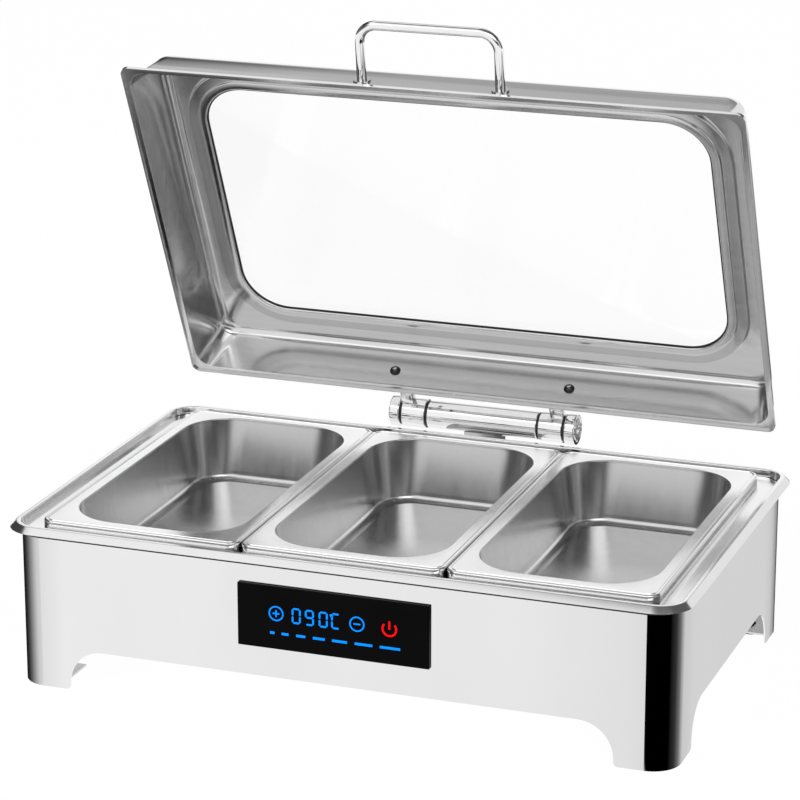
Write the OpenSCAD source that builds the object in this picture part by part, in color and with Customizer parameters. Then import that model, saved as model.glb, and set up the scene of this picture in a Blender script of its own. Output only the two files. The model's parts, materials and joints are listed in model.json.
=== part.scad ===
/* [Food pans] */
// Width of one food pan over its flange
pan_w = 176; // [150:0.1:200]
// Length of a food pan over its flange, front to rear
pan_d = 325; // [280:1:360]
// Depth of a food pan from its flange to its floor
pan_depth = 54; // [46:1:68]
// Gap between neighbouring pans
pan_gap = 1; // [0.6:0.1:3]
// Width of the flange around a pan's opening
pan_flange = 12; // [11:0.5:20]
// Corner radius of a pan's opening
pan_r = 44; // [26:1:50]
// Corner radius of a pan's flange
pan_corner_r = 9; // [6:0.5:14]
// Radius of the flange's turned-down edge
pan_edge_r = 4; // [2:0.5:5]
// Height of the turned-down edge
pan_edge_h = 7.6; // [6:0.1:12]
// Sheet thickness of a pan
pan_t = 1; // [0.8:0.1:1.5]
// How far a pan's walls lean in over their height
pan_draft = 8; // [2:0.5:10]
// Radius between a pan's walls and its floor
pan_fillet = 9; // [6:0.5:14]
// Radius of the lip between the flange and the walls
pan_lip_r = 2; // [2:0.5:5]
// Room between a pan's edge and the gutter that it stands in
pan_seat_gap = 0.2; // [0.1:0.1:0.5]

/* [Water pan] */
// Room between the food pans and the water pan's walls
tub_clear = 2; // [1:0.5:6]
// Corner radius of the water pan
tub_r = 24; // [15:1:30]
// Depth of the water under the food pans
water_gap = 11; // [8:1:16]
// Width of the gutter beside the pan row
gutter_side = 19.7; // [14:0.1:30]
// Width of the gutter before and behind the pan row
gutter_end = 13; // [12:0.1:24]
// Height of the rim's ridge above the gutter
ridge_h = 6.4; // [4:0.1:8]
// Width of the flat on top of the ridge
ridge_w = 3; // [2:0.1:6]
// How far the rim's skirt leans out
skirt_out = 5.2; // [3:0.1:10]
// Height of the rim's skirt
skirt_drop = 5.3; // [3:0.1:8]
// Outer corner radius of the rim
rim_r = 28; // [22:1:40]
// Sheet thickness of the water pan
water_t = 1.2; // [0.8:0.1:1.5]

/* [Housing] */
// Height of the housing's top edge above the table
body_h = 134; // [131:1:160]
// How far the housing's walls stand inside the gutter's edge
wall_inset = 0.3; // [0:0.1:3]
// Outer corner radius of the housing
body_r = 24; // [16:1:36]
// Thickness of the housing sheet
body_t = 1.2; // [0.8:0.1:2]
// Length of each foot along the front and the rear
foot_w = 49; // [44:1:80]
// Length of each foot along the sides
foot_d = 54; // [44:1:80]
// Height of the arches between the feet
arch_h = 37; // [32:1:38]
// Radius of the arches' upper corners
arch_r = 30; // [12:1:34]
// Radius at the toes of the feet
toe_r = 4; // [1:0.5:5]
// Gap between the housing's steel and the table
foot_lift = 1; // [1:0.1:3]
// Diameter of a rubber foot
rubber_d = 26; // [18:1:30]
// Height of the base plate's underside above the table
base_z = 40; // [39:0.5:44]

/* [Lid] */
// Room between the pan row and the lid's walls
lid_clear = 3; // [3:0.1:5]
// Width of the lid's rim flange
lid_flange = 6; // [5:0.1:8]
// Height of the lid from its rim to its top
lid_h = 52; // [45:1:80]
// Sheet thickness of the lid
lid_t = 1; // [0.8:0.1:1.5]
// How far the lid's rear wall leans in over its height
rear_draft = 2.5; // [1:0.5:4]
// How far the lid's side walls lean in over their height
side_draft = 7; // [2:0.5:8]
// How far the lid's front wall leans in over its height
front_draft = 9; // [4:0.5:10]
// Radius between the lid's top and its rear and side walls
lid_crown = 9; // [4:0.5:12]
// Radius between the lid's top and its front wall
front_crown = 16; // [8:0.5:18]
// Corner radius of the lid's walls at the rim
lid_r = 16; // [14:1:18]
// Corner radius of the lid's rim
lid_corner_r = 8; // [4:1:14]
// Height of the hem at the edge of the rim
hem_h = 3; // [2:0.1:5]
// Width of the flat on the lid's top between each side and the sunk ledge
flat_side = 7; // [2:0.5:30]
// Width of that flat along the front
flat_front = 1; // [1:0.5:30]
// Width of that flat along the rear
flat_rear = 10.5; // [2:0.5:30]
// Corner radius of the window
window_r = 40; // [15:1:60]
// Width of the sunk ledge that carries the glass
window_ledge = 18; // [12:0.5:20]
// Depth of that ledge below the lid's top
ledge_drop = 3.5; // [2.5:0.1:6]
// Thickness of the glass
glass_t = 3; // [2:0.5:5]
// Thickness of the seal under the glass
seal_t = 0.8; // [0.4:0.1:2]
// How far the lid stands open
open_angle = 65; // [0:1:85]

/* [Hinge] */
// Distance of the hinge axis behind the rim
hinge_out = 22; // [16:0.5:30]
// Height of the hinge axis above the closed lid's rim
hinge_up = 13.2; // [12:0.1:20]
// Diameter of the middle barrel
barrel_d = 25.5; // [21:0.5:26]
// Length of the middle barrel
barrel_len = 105; // [70:1:130]
// Diameter of the sleeves on the lid's arms
sleeve_d = 27; // [22:0.5:28]
// Length of a sleeve
sleeve_len = 23.5; // [18:0.5:40]
// Diameter of the end caps
cap_d = 28.5; // [22:0.5:30]
// Length of an end cap
cap_len = 10.5; // [8:0.1:20]
// Diameter of the hinge pin
pin_d = 10; // [8:0.5:12]
// Length of a bearing bush inside the barrel
bush_len = 20; // [10:1:30]
// Gap between neighbouring pieces along the hinge
hinge_gap = 0.5; // [0.3:0.1:1]

/* [Handle] */
// Distance between the handle's legs
handle_span = 122; // [90:1:160]
// Reach of the handle from the lid's wall
handle_reach = 50; // [35:1:80]
// Diameter of the handle's rod
handle_d = 8.5; // [7:0.5:12]
// Bend radius of the handle
handle_bend = 16; // [10:1:24]
// Height of the handle's legs above the lid's rim
handle_up = 20; // [16:1:30]

/* [Controls] */
// Width of the control panel
panel_w = 165; // [140:1:220]
// Height of the control panel
panel_h = 54; // [48:1:58]
// Thickness of the control panel's glass
panel_t = 3; // [2:0.5:5]
// Height of the control panel's centre above the table
panel_z = 90; // [84:1:96]

/* [Hidden] */
$fn = 64;

// Play of a running shaft, and of a part pushed into a seat
run_clear = 0.05;
fit_clear = 0.1;
// Overshoot of a cutting shape
cut = 1;
arc_steps = 6;

// Pan row and rim, in plan
pan_pitch = pan_w + pan_gap;
row_w = 3 * pan_w + 2 * pan_gap;
row_d = pan_d;
gutter_w = row_w + 2 * gutter_side;
gutter_d = row_d + 2 * gutter_end;
gutter_r = rim_r - skirt_out - ridge_w;
rim_d = gutter_d + 2 * (ridge_w + skirt_out);
body_w = gutter_w - 2 * wall_inset;
body_d = gutter_d - 2 * wall_inset;
inner_w = body_w - 2 * body_t;
inner_d = body_d - 2 * body_t;
inner_r = body_r - body_t;

// Heights
gutter_z = body_h + water_t;
pan_z = gutter_z + pan_seat_gap + pan_edge_h;
tub_floor_z = pan_z - pan_depth - pan_t - water_gap;
tub_under_z = tub_floor_z - water_t;
tub_w = row_w - 2 * (pan_flange - pan_t) + 2 * tub_clear;
tub_d = row_d - 2 * (pan_flange - pan_t) + 2 * tub_clear;

// Base, feet and what lies under the water pan
base_t = 1.2;
base_top = base_z + base_t;
plate_gap = 0.5;
bracket_size = 42;
bracket_t = 1.5;
bracket_low_z = 5;
foot_inset = 20;
foot_stem_d = 8;
base_screw_d = 4;
base_screw_head_d = 8;
base_screw_head_h = 2.5;
base_screw_len = 9;
vent_len = 50;
vent_w = 4;
vent_pitch = 12;
vent_count = 7;
vent_x = 140;
screw_inset = 24;

element_d = 7;
element_runs = 4;
element_pitch = 50;
// Room between the element's turns and the housing's sides, where its leads run
element_room = 103;
element_half = inner_w / 2 - element_room;
element_pin_d = 3;
element_pin_len = 16;
element_z = tub_under_z - fit_clear - element_d / 2;
element_y0 = -(element_runs - 1) * element_pitch / 2;
clamp_share = 0.6;
clamp_x = clamp_share * element_half;
clamp_w = 14;
clamp_t = 1.5;
clamp_post_d = 8;
clamp_len = (element_runs - 1) * element_pitch + 40;
clamp_top = element_z - element_d / 2 - fit_clear;
pad_t = 5;
pad_margin = 40;
pad_w = 2 * (element_half + pad_margin);
pad_d = (element_runs - 1) * element_pitch + 2 * pad_margin;
pad_top = clamp_top - clamp_t;
shield_t = 1;
shield_edge = 10;
shield_z = pad_top - pad_t - shield_t;
spacer_d = 10;
spacer_inset = 15;
spacer_x = pad_w / 2 - spacer_inset;
spacer_y = pad_d / 2 - spacer_inset;

cutout_d = 18;
cutout_flange = 34;
cutout_flange_d = 12;
cutout_flange_t = 1;
cutout_y = -50;
probe_size = [24, 12];
probe_d = 5;
probe_len = 30;
probe_at = [40, 50];
below_tub = clamp_top - clamp_t + 1;

// Control electronics behind the front wall
front_y = -body_d / 2;
front_in = front_y + body_t;
window_margin = 7;
box_margin = 3;
box_depth = 16;
box_t = 2;
board_t = 1.6;
board_w = panel_w - 2 * window_margin - 8;
board_h = panel_h - 2 * window_margin - 6;
module_w = 56;
module_h = 20;
module_t = 5;
board_front = front_y + module_t;
post_d = 6;

// Power electronics on the rear wall
rear_y = body_d / 2;
rear_in = rear_y - body_t;
standoff_len = 4;
standoff_d = 6;
power_w = 90;
power_h = 44;
power_from_side = 88;
power_up = 47;
power_x = inner_w / 2 - power_from_side;
power_z = base_top + power_up;
power_back = rear_in - standoff_len;
power_front = power_back - board_t;
part_depth = 9;
relay_size = [20, 16];
relay_at = [power_x - 26, power_z - 6];
coil_size = [26, 24];
coil_at = [power_x + 14, power_z + 4];

inlet_from_side = 83;
inlet_up = 41;
inlet_x = inlet_from_side - inner_w / 2;
inlet_z = base_top + inlet_up;
inlet_w = 27;
inlet_h = 20;
inlet_depth = 15;
inlet_flange_w = 48;
inlet_flange_h = 24;
inlet_flange_t = 2;
inlet_screw_pitch = 40;
inlet_screw_d = 3;
inlet_wall = 2;
inlet_prong = [2, 6];
terminal_size = [34, 14, 13];
terminal_at = [inlet_x, rear_in - 12];
wire_d = 2.8;
// Swelling of a wire's sleeve at a bend
wire_bulge = 0.2;
element_wire_out = 29;
element_wire_pitch = 10;
inlet_wire_pitch = 16;
feed_wire_in = 30;
feed_wire_pitch = 8;

// Lid in its closed place
lid_gap = 0.3;
lid_z = gutter_z + lid_gap;
lid_w = row_w + 2 * (lid_clear + lid_flange);
lid_d = row_d + 2 * (lid_clear + lid_flange);
wall_w = lid_w - 2 * lid_flange;
wall_d = lid_d - 2 * lid_flange;
rim_z = lid_z + hem_h - lid_t;
wall_low = hem_h - lid_t;
rear_c = [wall_d / 2 - rear_draft - lid_crown, lid_h - lid_t - lid_crown];
front_c = [front_draft + front_crown - wall_d / 2, lid_h - lid_t - front_crown];
side_c = [wall_w / 2 - side_draft - lid_crown, lid_h - lid_t - lid_crown];
rear_lean = atan(rear_draft / (rear_c[1] - wall_low));
front_lean = atan(front_draft / (front_c[1] - wall_low));
ledge_w = 2 * (side_c[0] - flat_side);
ledge_front = front_c[0] + flat_front;
ledge_rear = rear_c[0] - flat_rear;
ledge_d = ledge_rear - ledge_front;
window_w = ledge_w - 2 * window_ledge;
window_d = ledge_d - 2 * window_ledge;
window_y = (ledge_front + ledge_rear) / 2;
ledge_r = window_r + window_ledge;
ledge_z = lid_z + lid_h - lid_t - ledge_drop;
window_hem = 1.5;
glass_gap = 0.7;
glass_w = ledge_w - 2 * lid_t - 2 * glass_gap;
glass_d = ledge_d - 2 * lid_t - 2 * glass_gap;
glass_r = ledge_r - lid_t - glass_gap;
glass_z = ledge_z + lid_t + seal_t;

// Hinge
hinge_y = rim_d / 2 + hinge_out;
hinge_z = lid_z + hinge_up;
sleeve_x0 = barrel_len / 2 + hinge_gap;
sleeve_x1 = sleeve_x0 + sleeve_len;
cap_x0 = sleeve_x1 + hinge_gap;
pin_seat = 4;
pin_half = cap_x0 + pin_seat;
bush_wall = 3;
arm_up = 21;
arm_screw_out = 29;
arm_screw_x = sleeve_x0 + arm_screw_out;
arm_screw_d = 5;
arm_screw_len = 9;
arm_pad_t = 4;
arm_pad_h = 22;
arm_pad_end = 11;
arm_pad_x1 = arm_screw_x + arm_pad_end;
arm_t = 8;
arm_w = 12;
arm_below = 4.2;
arm_low_z = hinge_z - arm_below;
dome_d = 9;
dome_h = 2;
bracket_inset = 7.5;
bracket_half = barrel_len / 2 - bracket_inset;
bracket_plate_t = 3;
bracket_drop = 66;
bracket_shelf_drop = 38;
bracket_shelf_z = hinge_z - bracket_shelf_drop;
bracket_web_t = 10;
bracket_web_half = 18;
bracket_hole_inset = 12;
bracket_hole_x = bracket_half - bracket_hole_inset;
bracket_hole_pitch = 26;
bracket_hole_below = 8;
bracket_hole_z = bracket_shelf_z - bracket_hole_below;
bracket_screw_d = 5;
bracket_screw_len = 10;
ring_groove = 0.8;

// Handle
handle_screw_d = 4;
handle_screw_len = 12;
washer_d = 15;
washer_t = 1.5;

function arc(c, r, from, to) = [
    for (i = [0 : arc_steps]) let (a = from + (to - from) * i / arc_steps) c + r * [cos(a), sin(a)]
];

// Lean of the lid's rear wall (side 1) or its front wall (side -1), and the sheet measured square to it
function lean(side) = side < 0 ? front_lean : rear_lean;
function sheet(side) = lid_t * cos(lean(side));

module round_rect(w, d, r) {
    square([w, d - 2 * r], center = true);
    square([w - 2 * r, d], center = true);
    for (x = [-1, 1], y = [-1, 1])
        translate([x * (w / 2 - r), y * (d / 2 - r)])
            circle(r);
}

module plate(w, d, r, z, t) {
    translate([0, 0, z])
        linear_extrude(t)
            round_rect(w, d, r);
}

// A band of even width inside a rounded outline
module band(w, d, r, width, z, h) {
    translate([0, 0, z])
        linear_extrude(h)
            difference() {
                round_rect(w, d, r);
                round_rect(w - 2 * width, d - 2 * width, r - width);
            }
}

// A profile drawn with x pointing outwards, carried round a rounded rectangle
module carry_round(w, d, r, z) {
    translate([0, 0, z])
        for (quarter = [0 : 3]) {
            a = quarter % 2 == 0 ? w : d;
            b = quarter % 2 == 0 ? d : w;
            rotate(90 * quarter) {
                translate([a / 2, b / 2 - r, 0])
                    rotate([90, 0, 0])
                        linear_extrude(b - 2 * r)
                            children();
                translate([a / 2 - r, b / 2 - r, 0])
                    rotate_extrude(angle = 90)
                        translate([r, 0])
                            children();
            }
        }
}

module at_corners(x, y) {
    for (sx = [-1, 1], sy = [-1, 1])
        translate([sx * x, sy * y, 0])
            children();
}

// Outline of an arch between two feet, standing on the table
module arch_outline(w) {
    translate([-w / 2, -cut])
        square([w, arch_h - arch_r + cut]);
    translate([-w / 2 + arch_r, -cut])
        square([w - 2 * arch_r, arch_h + cut]);
    for (s = [-1, 1]) {
        translate([s * (w / 2 - arch_r), arch_h - arch_r])
            circle(arch_r);
        difference() {
            translate([s * w / 2 - toe_r, -cut])
                square([2 * toe_r, foot_lift + toe_r + cut]);
            translate([s * (w / 2 + toe_r), foot_lift + toe_r])
                circle(toe_r);
        }
    }
}

module housing() {
    color("gainsboro")
        difference() {
            band(body_w, body_d, body_r, body_t, foot_lift, body_h - foot_lift);
            rotate([90, 0, 0])
                linear_extrude(body_d + 2 * cut, center = true)
                    arch_outline(body_w - 2 * foot_w);
            rotate([90, 0, 90])
                linear_extrude(body_w + 2 * cut, center = true)
                    arch_outline(body_d - 2 * foot_d);
            translate([0, front_y, panel_z])
                cube([panel_w - 2 * window_margin, 4 * body_t, panel_h - 2 * window_margin], center = true);
            translate([inlet_x, rear_y, inlet_z])
                cube([inlet_w + 2 * fit_clear, 4 * body_t, inlet_h + 2 * fit_clear], center = true);
            inlet_screw_places()
                cylinder(h = 4 * body_t, d = inlet_screw_d + 2 * fit_clear, center = true);
            bracket_screw_places()
                cylinder(h = 4 * body_t, d = bracket_screw_d + 2 * fit_clear, center = true);
        }
}

// Folded corner pieces inside the feet: they carry the base plate and the rubber feet
module corner_brackets() {
    color("silver")
        difference() {
            intersection() {
                union() {
                    plate(inner_w, inner_d, inner_r, bracket_low_z, bracket_t);
                    plate(inner_w, inner_d, inner_r, base_z - bracket_t, bracket_t);
                    band(inner_w, inner_d, inner_r, bracket_t, bracket_low_z, base_z - bracket_low_z);
                }
                at_corners(inner_w / 2, inner_d / 2)
                    translate([0, 0, base_z / 2])
                        cube([2 * bracket_size, 2 * bracket_size, base_z], center = true);
            }
            at_corners(inner_w / 2 - foot_inset, inner_d / 2 - foot_inset)
                cylinder(h = bracket_low_z + bracket_t + cut, d = foot_stem_d + 2 * fit_clear);
            base_screw_places()
                cylinder(h = 4 * bracket_t, d = base_screw_d + 2 * fit_clear, center = true);
        }
}

module rubber_feet() {
    color("#202020")
        at_corners(inner_w / 2 - foot_inset, inner_d / 2 - foot_inset)
            rotate_extrude()
                polygon([
                    [0, 0], [rubber_d / 2 - 1.5, 0], [rubber_d / 2, 1.5], [rubber_d / 2 - 1, bracket_low_z],
                    [foot_stem_d / 2, bracket_low_z], [foot_stem_d / 2, bracket_low_z + bracket_t],
                    [foot_stem_d / 2 + 1.2, bracket_low_z + bracket_t],
                    [foot_stem_d / 2 - 1, bracket_low_z + bracket_t + 3], [0, bracket_low_z + bracket_t + 3]
                ]);
}

module base_screw_places() {
    at_corners(inner_w / 2 - screw_inset, inner_d / 2 - screw_inset)
        translate([0, 0, base_z])
            children();
}

module base_plate() {
    color("#b9bbbd")
        difference() {
            plate(inner_w - 2 * plate_gap, inner_d - 2 * plate_gap, inner_r - plate_gap, base_z, base_t);
            base_screw_places()
                cylinder(h = 4 * base_t, d = base_screw_d + 2 * fit_clear, center = true);
            for (s = [-1, 1], i = [0 : vent_count - 1])
                translate([s * vent_x, (i - (vent_count - 1) / 2) * vent_pitch, base_z])
                    cube([vent_len, vent_w, 4 * base_t], center = true);
        }
}

module base_screws() {
    color("#8a8d90")
        base_screw_places()
            translate([0, 0, -bracket_t]) {
                translate([0, 0, -base_screw_head_h])
                    cylinder(h = base_screw_head_h, d = base_screw_head_d);
                cylinder(h = base_screw_len, d = base_screw_d);
            }
}

module water_pan() {
    skirt_low = ridge_h - skirt_drop;
    color("whitesmoke") {
        translate([0, 0, body_h])
            linear_extrude(water_t)
                difference() {
                    round_rect(gutter_w + 2 * water_t, gutter_d + 2 * water_t, gutter_r + water_t);
                    round_rect(tub_w, tub_d, tub_r);
                }
        carry_round(gutter_w, gutter_d, gutter_r, gutter_z)
            polygon([
                [0, 0], [0, ridge_h - water_t / 2], [water_t / 2, ridge_h], [ridge_w, ridge_h],
                [ridge_w + skirt_out, skirt_low], [ridge_w + skirt_out - water_t, skirt_low],
                [ridge_w - water_t / 2, ridge_h - water_t], [water_t, ridge_h - water_t], [water_t, 0]
            ]);
        band(tub_w + 2 * water_t, tub_d + 2 * water_t, tub_r + water_t, water_t,
             tub_floor_z, body_h - tub_floor_z);
        plate(tub_w + 2 * water_t, tub_d + 2 * water_t, tub_r + water_t, tub_under_z, water_t);
    }
}

// A food pan: flat flange, turned-down edge, leaning walls and a rounded floor
module food_pan() {
    open_w = pan_w - 2 * pan_flange;
    open_d = pan_d - 2 * pan_flange;
    floor_inset = pan_draft + pan_fillet;
    lip_c = [pan_lip_r, -pan_lip_r];
    fillet_c = [-floor_inset, pan_fillet - pan_depth];
    edge_c = [-pan_edge_r, -pan_edge_r];
    carry_round(open_w, open_d, pan_r, pan_z)
        polygon(concat(
            arc(lip_c, pan_lip_r, 90, 180), arc(fillet_c, pan_fillet, 0, -90),
            arc(fillet_c, pan_fillet + pan_t, -90, 0), arc(lip_c, pan_lip_r - pan_t, 180, 90)
        ));
    carry_round(pan_w, pan_d, pan_corner_r, pan_z)
        polygon(concat(
            arc(edge_c, pan_edge_r, 90, 0), [[0, -pan_edge_h], [-pan_t, -pan_edge_h]],
            arc(edge_c, pan_edge_r - pan_t, 0, 90)
        ));
    translate([0, 0, pan_z - pan_t])
        linear_extrude(pan_t)
            difference() {
                round_rect(pan_w - 2 * pan_edge_r, pan_d - 2 * pan_edge_r, pan_corner_r - pan_edge_r);
                round_rect(open_w + 2 * pan_lip_r, open_d + 2 * pan_lip_r, pan_r + pan_lip_r);
            }
    plate(open_w - 2 * floor_inset, open_d - 2 * floor_inset, pan_r - floor_inset,
          pan_z - pan_depth - pan_t, pan_t);
}

module food_pan_left() {
    color("lightgray")
        translate([-pan_pitch, 0, 0])
            food_pan();
}

module food_pan_middle() {
    color("lightgray")
        food_pan();
}

module food_pan_right() {
    color("lightgray")
        translate([pan_pitch, 0, 0])
            food_pan();
}

// A tubular element: straight runs joined by half turns, with a cold pin at each end
module heating_element() {
    color("#6f6a66")
        for (i = [0 : element_runs - 1]) {
            y = element_y0 + i * element_pitch;
            side = i % 2 == 0 ? -1 : 1;
            translate([-element_half, y, element_z])
                rotate([0, 90, 0])
                    cylinder(h = 2 * element_half, d = element_d);
            if (i < element_runs - 1)
                translate([side * element_half, y + element_pitch / 2, element_z])
                    rotate(side < 0 ? 90 : -90)
                        rotate_extrude(angle = 180)
                            translate([element_pitch / 2, 0])
                                circle(d = element_d);
            if (i == 0 || i == element_runs - 1)
                translate([element_half, y, element_z])
                    rotate([0, 90, 0])
                        cylinder(h = element_pin_len, d = element_pin_d);
        }
}

// Straps under the element, hung from posts on the water pan's floor
module element_clamps() {
    color("silver")
        for (s = [-1, 1])
            translate([s * clamp_x, 0, 0]) {
                translate([-clamp_w / 2, -clamp_len / 2, clamp_top - clamp_t])
                    cube([clamp_w, clamp_len, clamp_t]);
                for (e = [-1, 1])
                    translate([0, e * (clamp_len / 2 - clamp_post_d / 2), clamp_top])
                        cylinder(h = tub_under_z - clamp_top, d = clamp_post_d);
            }
}

module insulation_pad() {
    color("#d9d3c2")
        translate([-pad_w / 2, -pad_d / 2, pad_top - pad_t])
            cube([pad_w, pad_d, pad_t]);
}

module heat_shield() {
    color("#c4c7ca")
        translate([-pad_w / 2 - shield_edge, -pad_d / 2 - shield_edge, shield_z])
            cube([pad_w + 2 * shield_edge, pad_d + 2 * shield_edge, shield_t]);
}

module shield_spacers() {
    color("#e8e4da")
        at_corners(spacer_x, spacer_y)
            translate([0, 0, base_top])
                cylinder(h = shield_z - base_top, d = spacer_d);
}

module thermal_cutout() {
    color("#2f2f33")
        translate([0, cutout_y, 0]) {
            translate([0, 0, below_tub])
                cylinder(h = tub_under_z - cutout_flange_t - below_tub, d = cutout_d);
            plate(cutout_flange, cutout_flange_d, 3, tub_under_z - cutout_flange_t, cutout_flange_t);
        }
}

module temperature_probe() {
    color("#c9a86a")
        translate([probe_at[0], probe_at[1], 0])
            difference() {
                translate([0, 0, (below_tub + tub_under_z) / 2])
                    cube([probe_size[0], probe_size[1], tub_under_z - below_tub], center = true);
                translate([0, 0, (below_tub + tub_under_z) / 2])
                    rotate([0, 90, 0])
                        cylinder(h = probe_len, d = probe_d - 2, center = true);
            }
}

module control_panel_glass() {
    color("#0d0d0f")
        translate([0, front_y, panel_z])
            rotate([90, 0, 0])
                linear_extrude(panel_t)
                    round_rect(panel_w, panel_h, 1.5);
}

module display_module() {
    color("#1a1d22")
        translate([-module_w / 2, front_y, panel_z - module_h / 2])
            cube([module_w, module_t, module_h]);
}

module display_board() {
    color("#1e5b3a")
        translate([-board_w / 2, board_front, panel_z - board_h / 2])
            cube([board_w, board_t, board_h]);
}

// The tray behind the control panel, with posts that hold the board
module control_box() {
    w = panel_w - 2 * box_margin;
    h = panel_h - 2 * box_margin;
    color("#303236") {
        translate([0, front_in, panel_z])
            rotate([-90, 0, 0])
                difference() {
                    linear_extrude(box_depth)
                        round_rect(w, h, 4);
                    translate([0, 0, -cut])
                        linear_extrude(box_depth - box_t + cut)
                            round_rect(w - 2 * box_t, h - 2 * box_t, 2);
                }
        translate([0, board_front + board_t, panel_z])
            rotate([-90, 0, 0])
                at_corners(board_w / 2 - post_d, board_h / 2 - post_d)
                    cylinder(h = front_in + box_depth - box_t - board_front - board_t, d = post_d);
    }
}

module power_board() {
    color("#1e5b3a")
        translate([power_x - power_w / 2, power_front, power_z - power_h / 2])
            cube([power_w, board_t, power_h]);
}

module board_standoffs() {
    color("#c8a84a")
        translate([power_x, power_back, power_z])
            rotate([-90, 0, 0])
                at_corners(power_w / 2 - standoff_d, power_h / 2 - standoff_d)
                    cylinder(h = standoff_len, d = standoff_d);
}

module power_relay() {
    color("#2b4f8c")
        translate([relay_at[0], power_front - part_depth / 2, relay_at[1]])
            cube([relay_size[0], part_depth, relay_size[1]], center = true);
}

module board_transformer() {
    color("#d8b24a")
        translate([coil_at[0], power_front - part_depth / 2, coil_at[1]])
            cube([coil_size[0], part_depth, coil_size[1]], center = true);
}

module terminal_block() {
    color("#e6e6e0")
        translate([terminal_at[0], terminal_at[1], base_top + terminal_size[2] / 2])
            cube(terminal_size, center = true);
}

// A wire along straight stretches, rounded at its bends
module wire(route) {
    for (i = [0 : len(route) - 2]) {
        step = route[i + 1] - route[i];
        flat = norm([step[0], step[1]]);
        translate(route[i])
            rotate([0, atan2(flat, step[2]), atan2(step[1], step[0])])
                cylinder(h = norm(step), d = wire_d);
        if (i > 0)
            translate(route[i])
                sphere(d = wire_d + wire_bulge);
    }
}

module wiring() {
    pin_x = element_half + element_pin_len;
    pin_y = -element_y0;
    board_low = power_z - power_h / 2;
    board_y = power_front + board_t / 2;
    lane_y = power_front - part_depth / 2;
    lead_z = base_top + terminal_size[2];
    feed_x = terminal_at[0] + terminal_size[0] / 2;
    feed_z = base_top + terminal_size[2] / 2;
    color("#a33a2a")
        for (s = [-1, 1]) {
            element_x = power_x + element_wire_out - s * element_wire_pitch / 2;
            wire([
                [pin_x, s * pin_y, element_z], [element_x, s * pin_y, element_z],
                [element_x, lane_y, element_z], [element_x, lane_y, board_low - wire_d],
                [element_x, board_y, board_low - wire_d], [element_x, board_y, board_low]
            ]);
            lead_x = inlet_x + s * inlet_wire_pitch / 2;
            wire([[lead_x, terminal_at[1], inlet_z - inlet_h / 2], [lead_x, terminal_at[1], lead_z]]);
            tail_x = power_x - feed_wire_in + s * feed_wire_pitch / 2;
            tail_y = terminal_at[1] + s * feed_wire_pitch / 2;
            wire([
                [feed_x, tail_y, feed_z], [tail_x, tail_y, feed_z],
                [tail_x, tail_y, board_low - 2 * wire_d], [tail_x, board_y, board_low - 2 * wire_d],
                [tail_x, board_y, board_low]
            ]);
        }
}

module inlet_screw_places() {
    for (s = [-1, 1])
        translate([inlet_x + s * inlet_screw_pitch / 2, rear_y, inlet_z])
            rotate([90, 0, 0])
                children();
}

// Three-pole appliance inlet, let into the rear wall
module power_inlet() {
    well_w = inlet_w - 2 * inlet_wall;
    well_h = inlet_h - 2 * inlet_wall;
    prong_len = inlet_depth - 2 * inlet_wall;
    color("#242428")
        difference() {
            union() {
                translate([inlet_x, rear_y, inlet_z])
                    rotate([-90, 0, 0])
                        linear_extrude(inlet_flange_t)
                            round_rect(inlet_flange_w, inlet_flange_h, 5);
                translate([inlet_x - inlet_w / 2, rear_y - inlet_depth, inlet_z - inlet_h / 2])
                    cube([inlet_w, inlet_depth, inlet_h]);
            }
            translate([inlet_x, rear_y + inlet_flange_t, inlet_z])
                cube([well_w, 2 * (inlet_depth - inlet_wall), well_h], center = true);
            inlet_screw_places()
                cylinder(h = 4 * inlet_flange_t, d = inlet_screw_d + 2 * fit_clear, center = true);
        }
    color("silver")
        for (p = [[-7, -1], [0, 4], [7, -1]])
            translate([inlet_x + p[0], rear_y - inlet_wall - prong_len / 2, inlet_z + p[1]])
                cube([inlet_prong[0], prong_len, inlet_prong[1]], center = true);
}

module inlet_screws() {
    color("#8a8d90")
        inlet_screw_places()
            translate([0, 0, -inlet_flange_t]) {
                translate([0, 0, -2])
                    cylinder(h = 2, d = 2 * inlet_screw_d);
                cylinder(h = 10, d = inlet_screw_d);
            }
}

module bracket_screw_places() {
    for (x = [-1, 1], k = [0, 1])
        translate([x * bracket_hole_x, rear_y, bracket_hole_z - k * bracket_hole_pitch])
            rotate([90, 0, 0])
                children();
}

module hinge_bore(d) {
    translate([0, hinge_y, hinge_z])
        rotate([0, 90, 0])
            cylinder(h = 4 * pin_half, d = d, center = true);
}

module along_hinge(x, h, d) {
    translate([x, hinge_y, hinge_z])
        rotate([0, 90, 0])
            cylinder(h = h, d = d);
}

// Bent plate on the rear wall whose shelf and web carry the hinge barrel
module hinge_bracket() {
    wall_h = bracket_shelf_z - hinge_z + bracket_drop + bracket_plate_t;
    web_h = hinge_z - bracket_shelf_z + bracket_plate_t;
    color("silver")
        difference() {
            union() {
                translate([-bracket_half, rear_y, hinge_z - bracket_drop - bracket_plate_t])
                    cube([2 * bracket_half, bracket_plate_t, wall_h]);
                translate([-bracket_half, rear_y, bracket_shelf_z - bracket_plate_t])
                    cube([2 * bracket_half, hinge_y + bracket_web_t / 2 - rear_y, bracket_plate_t]);
                translate([-bracket_web_half, hinge_y - bracket_web_t / 2, bracket_shelf_z - bracket_plate_t])
                    cube([2 * bracket_web_half, bracket_web_t, web_h]);
            }
            hinge_bore(barrel_d + 2 * run_clear);
            bracket_screw_places()
                cylinder(h = 4 * bracket_plate_t, d = bracket_screw_d + 2 * fit_clear, center = true);
        }
}

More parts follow.
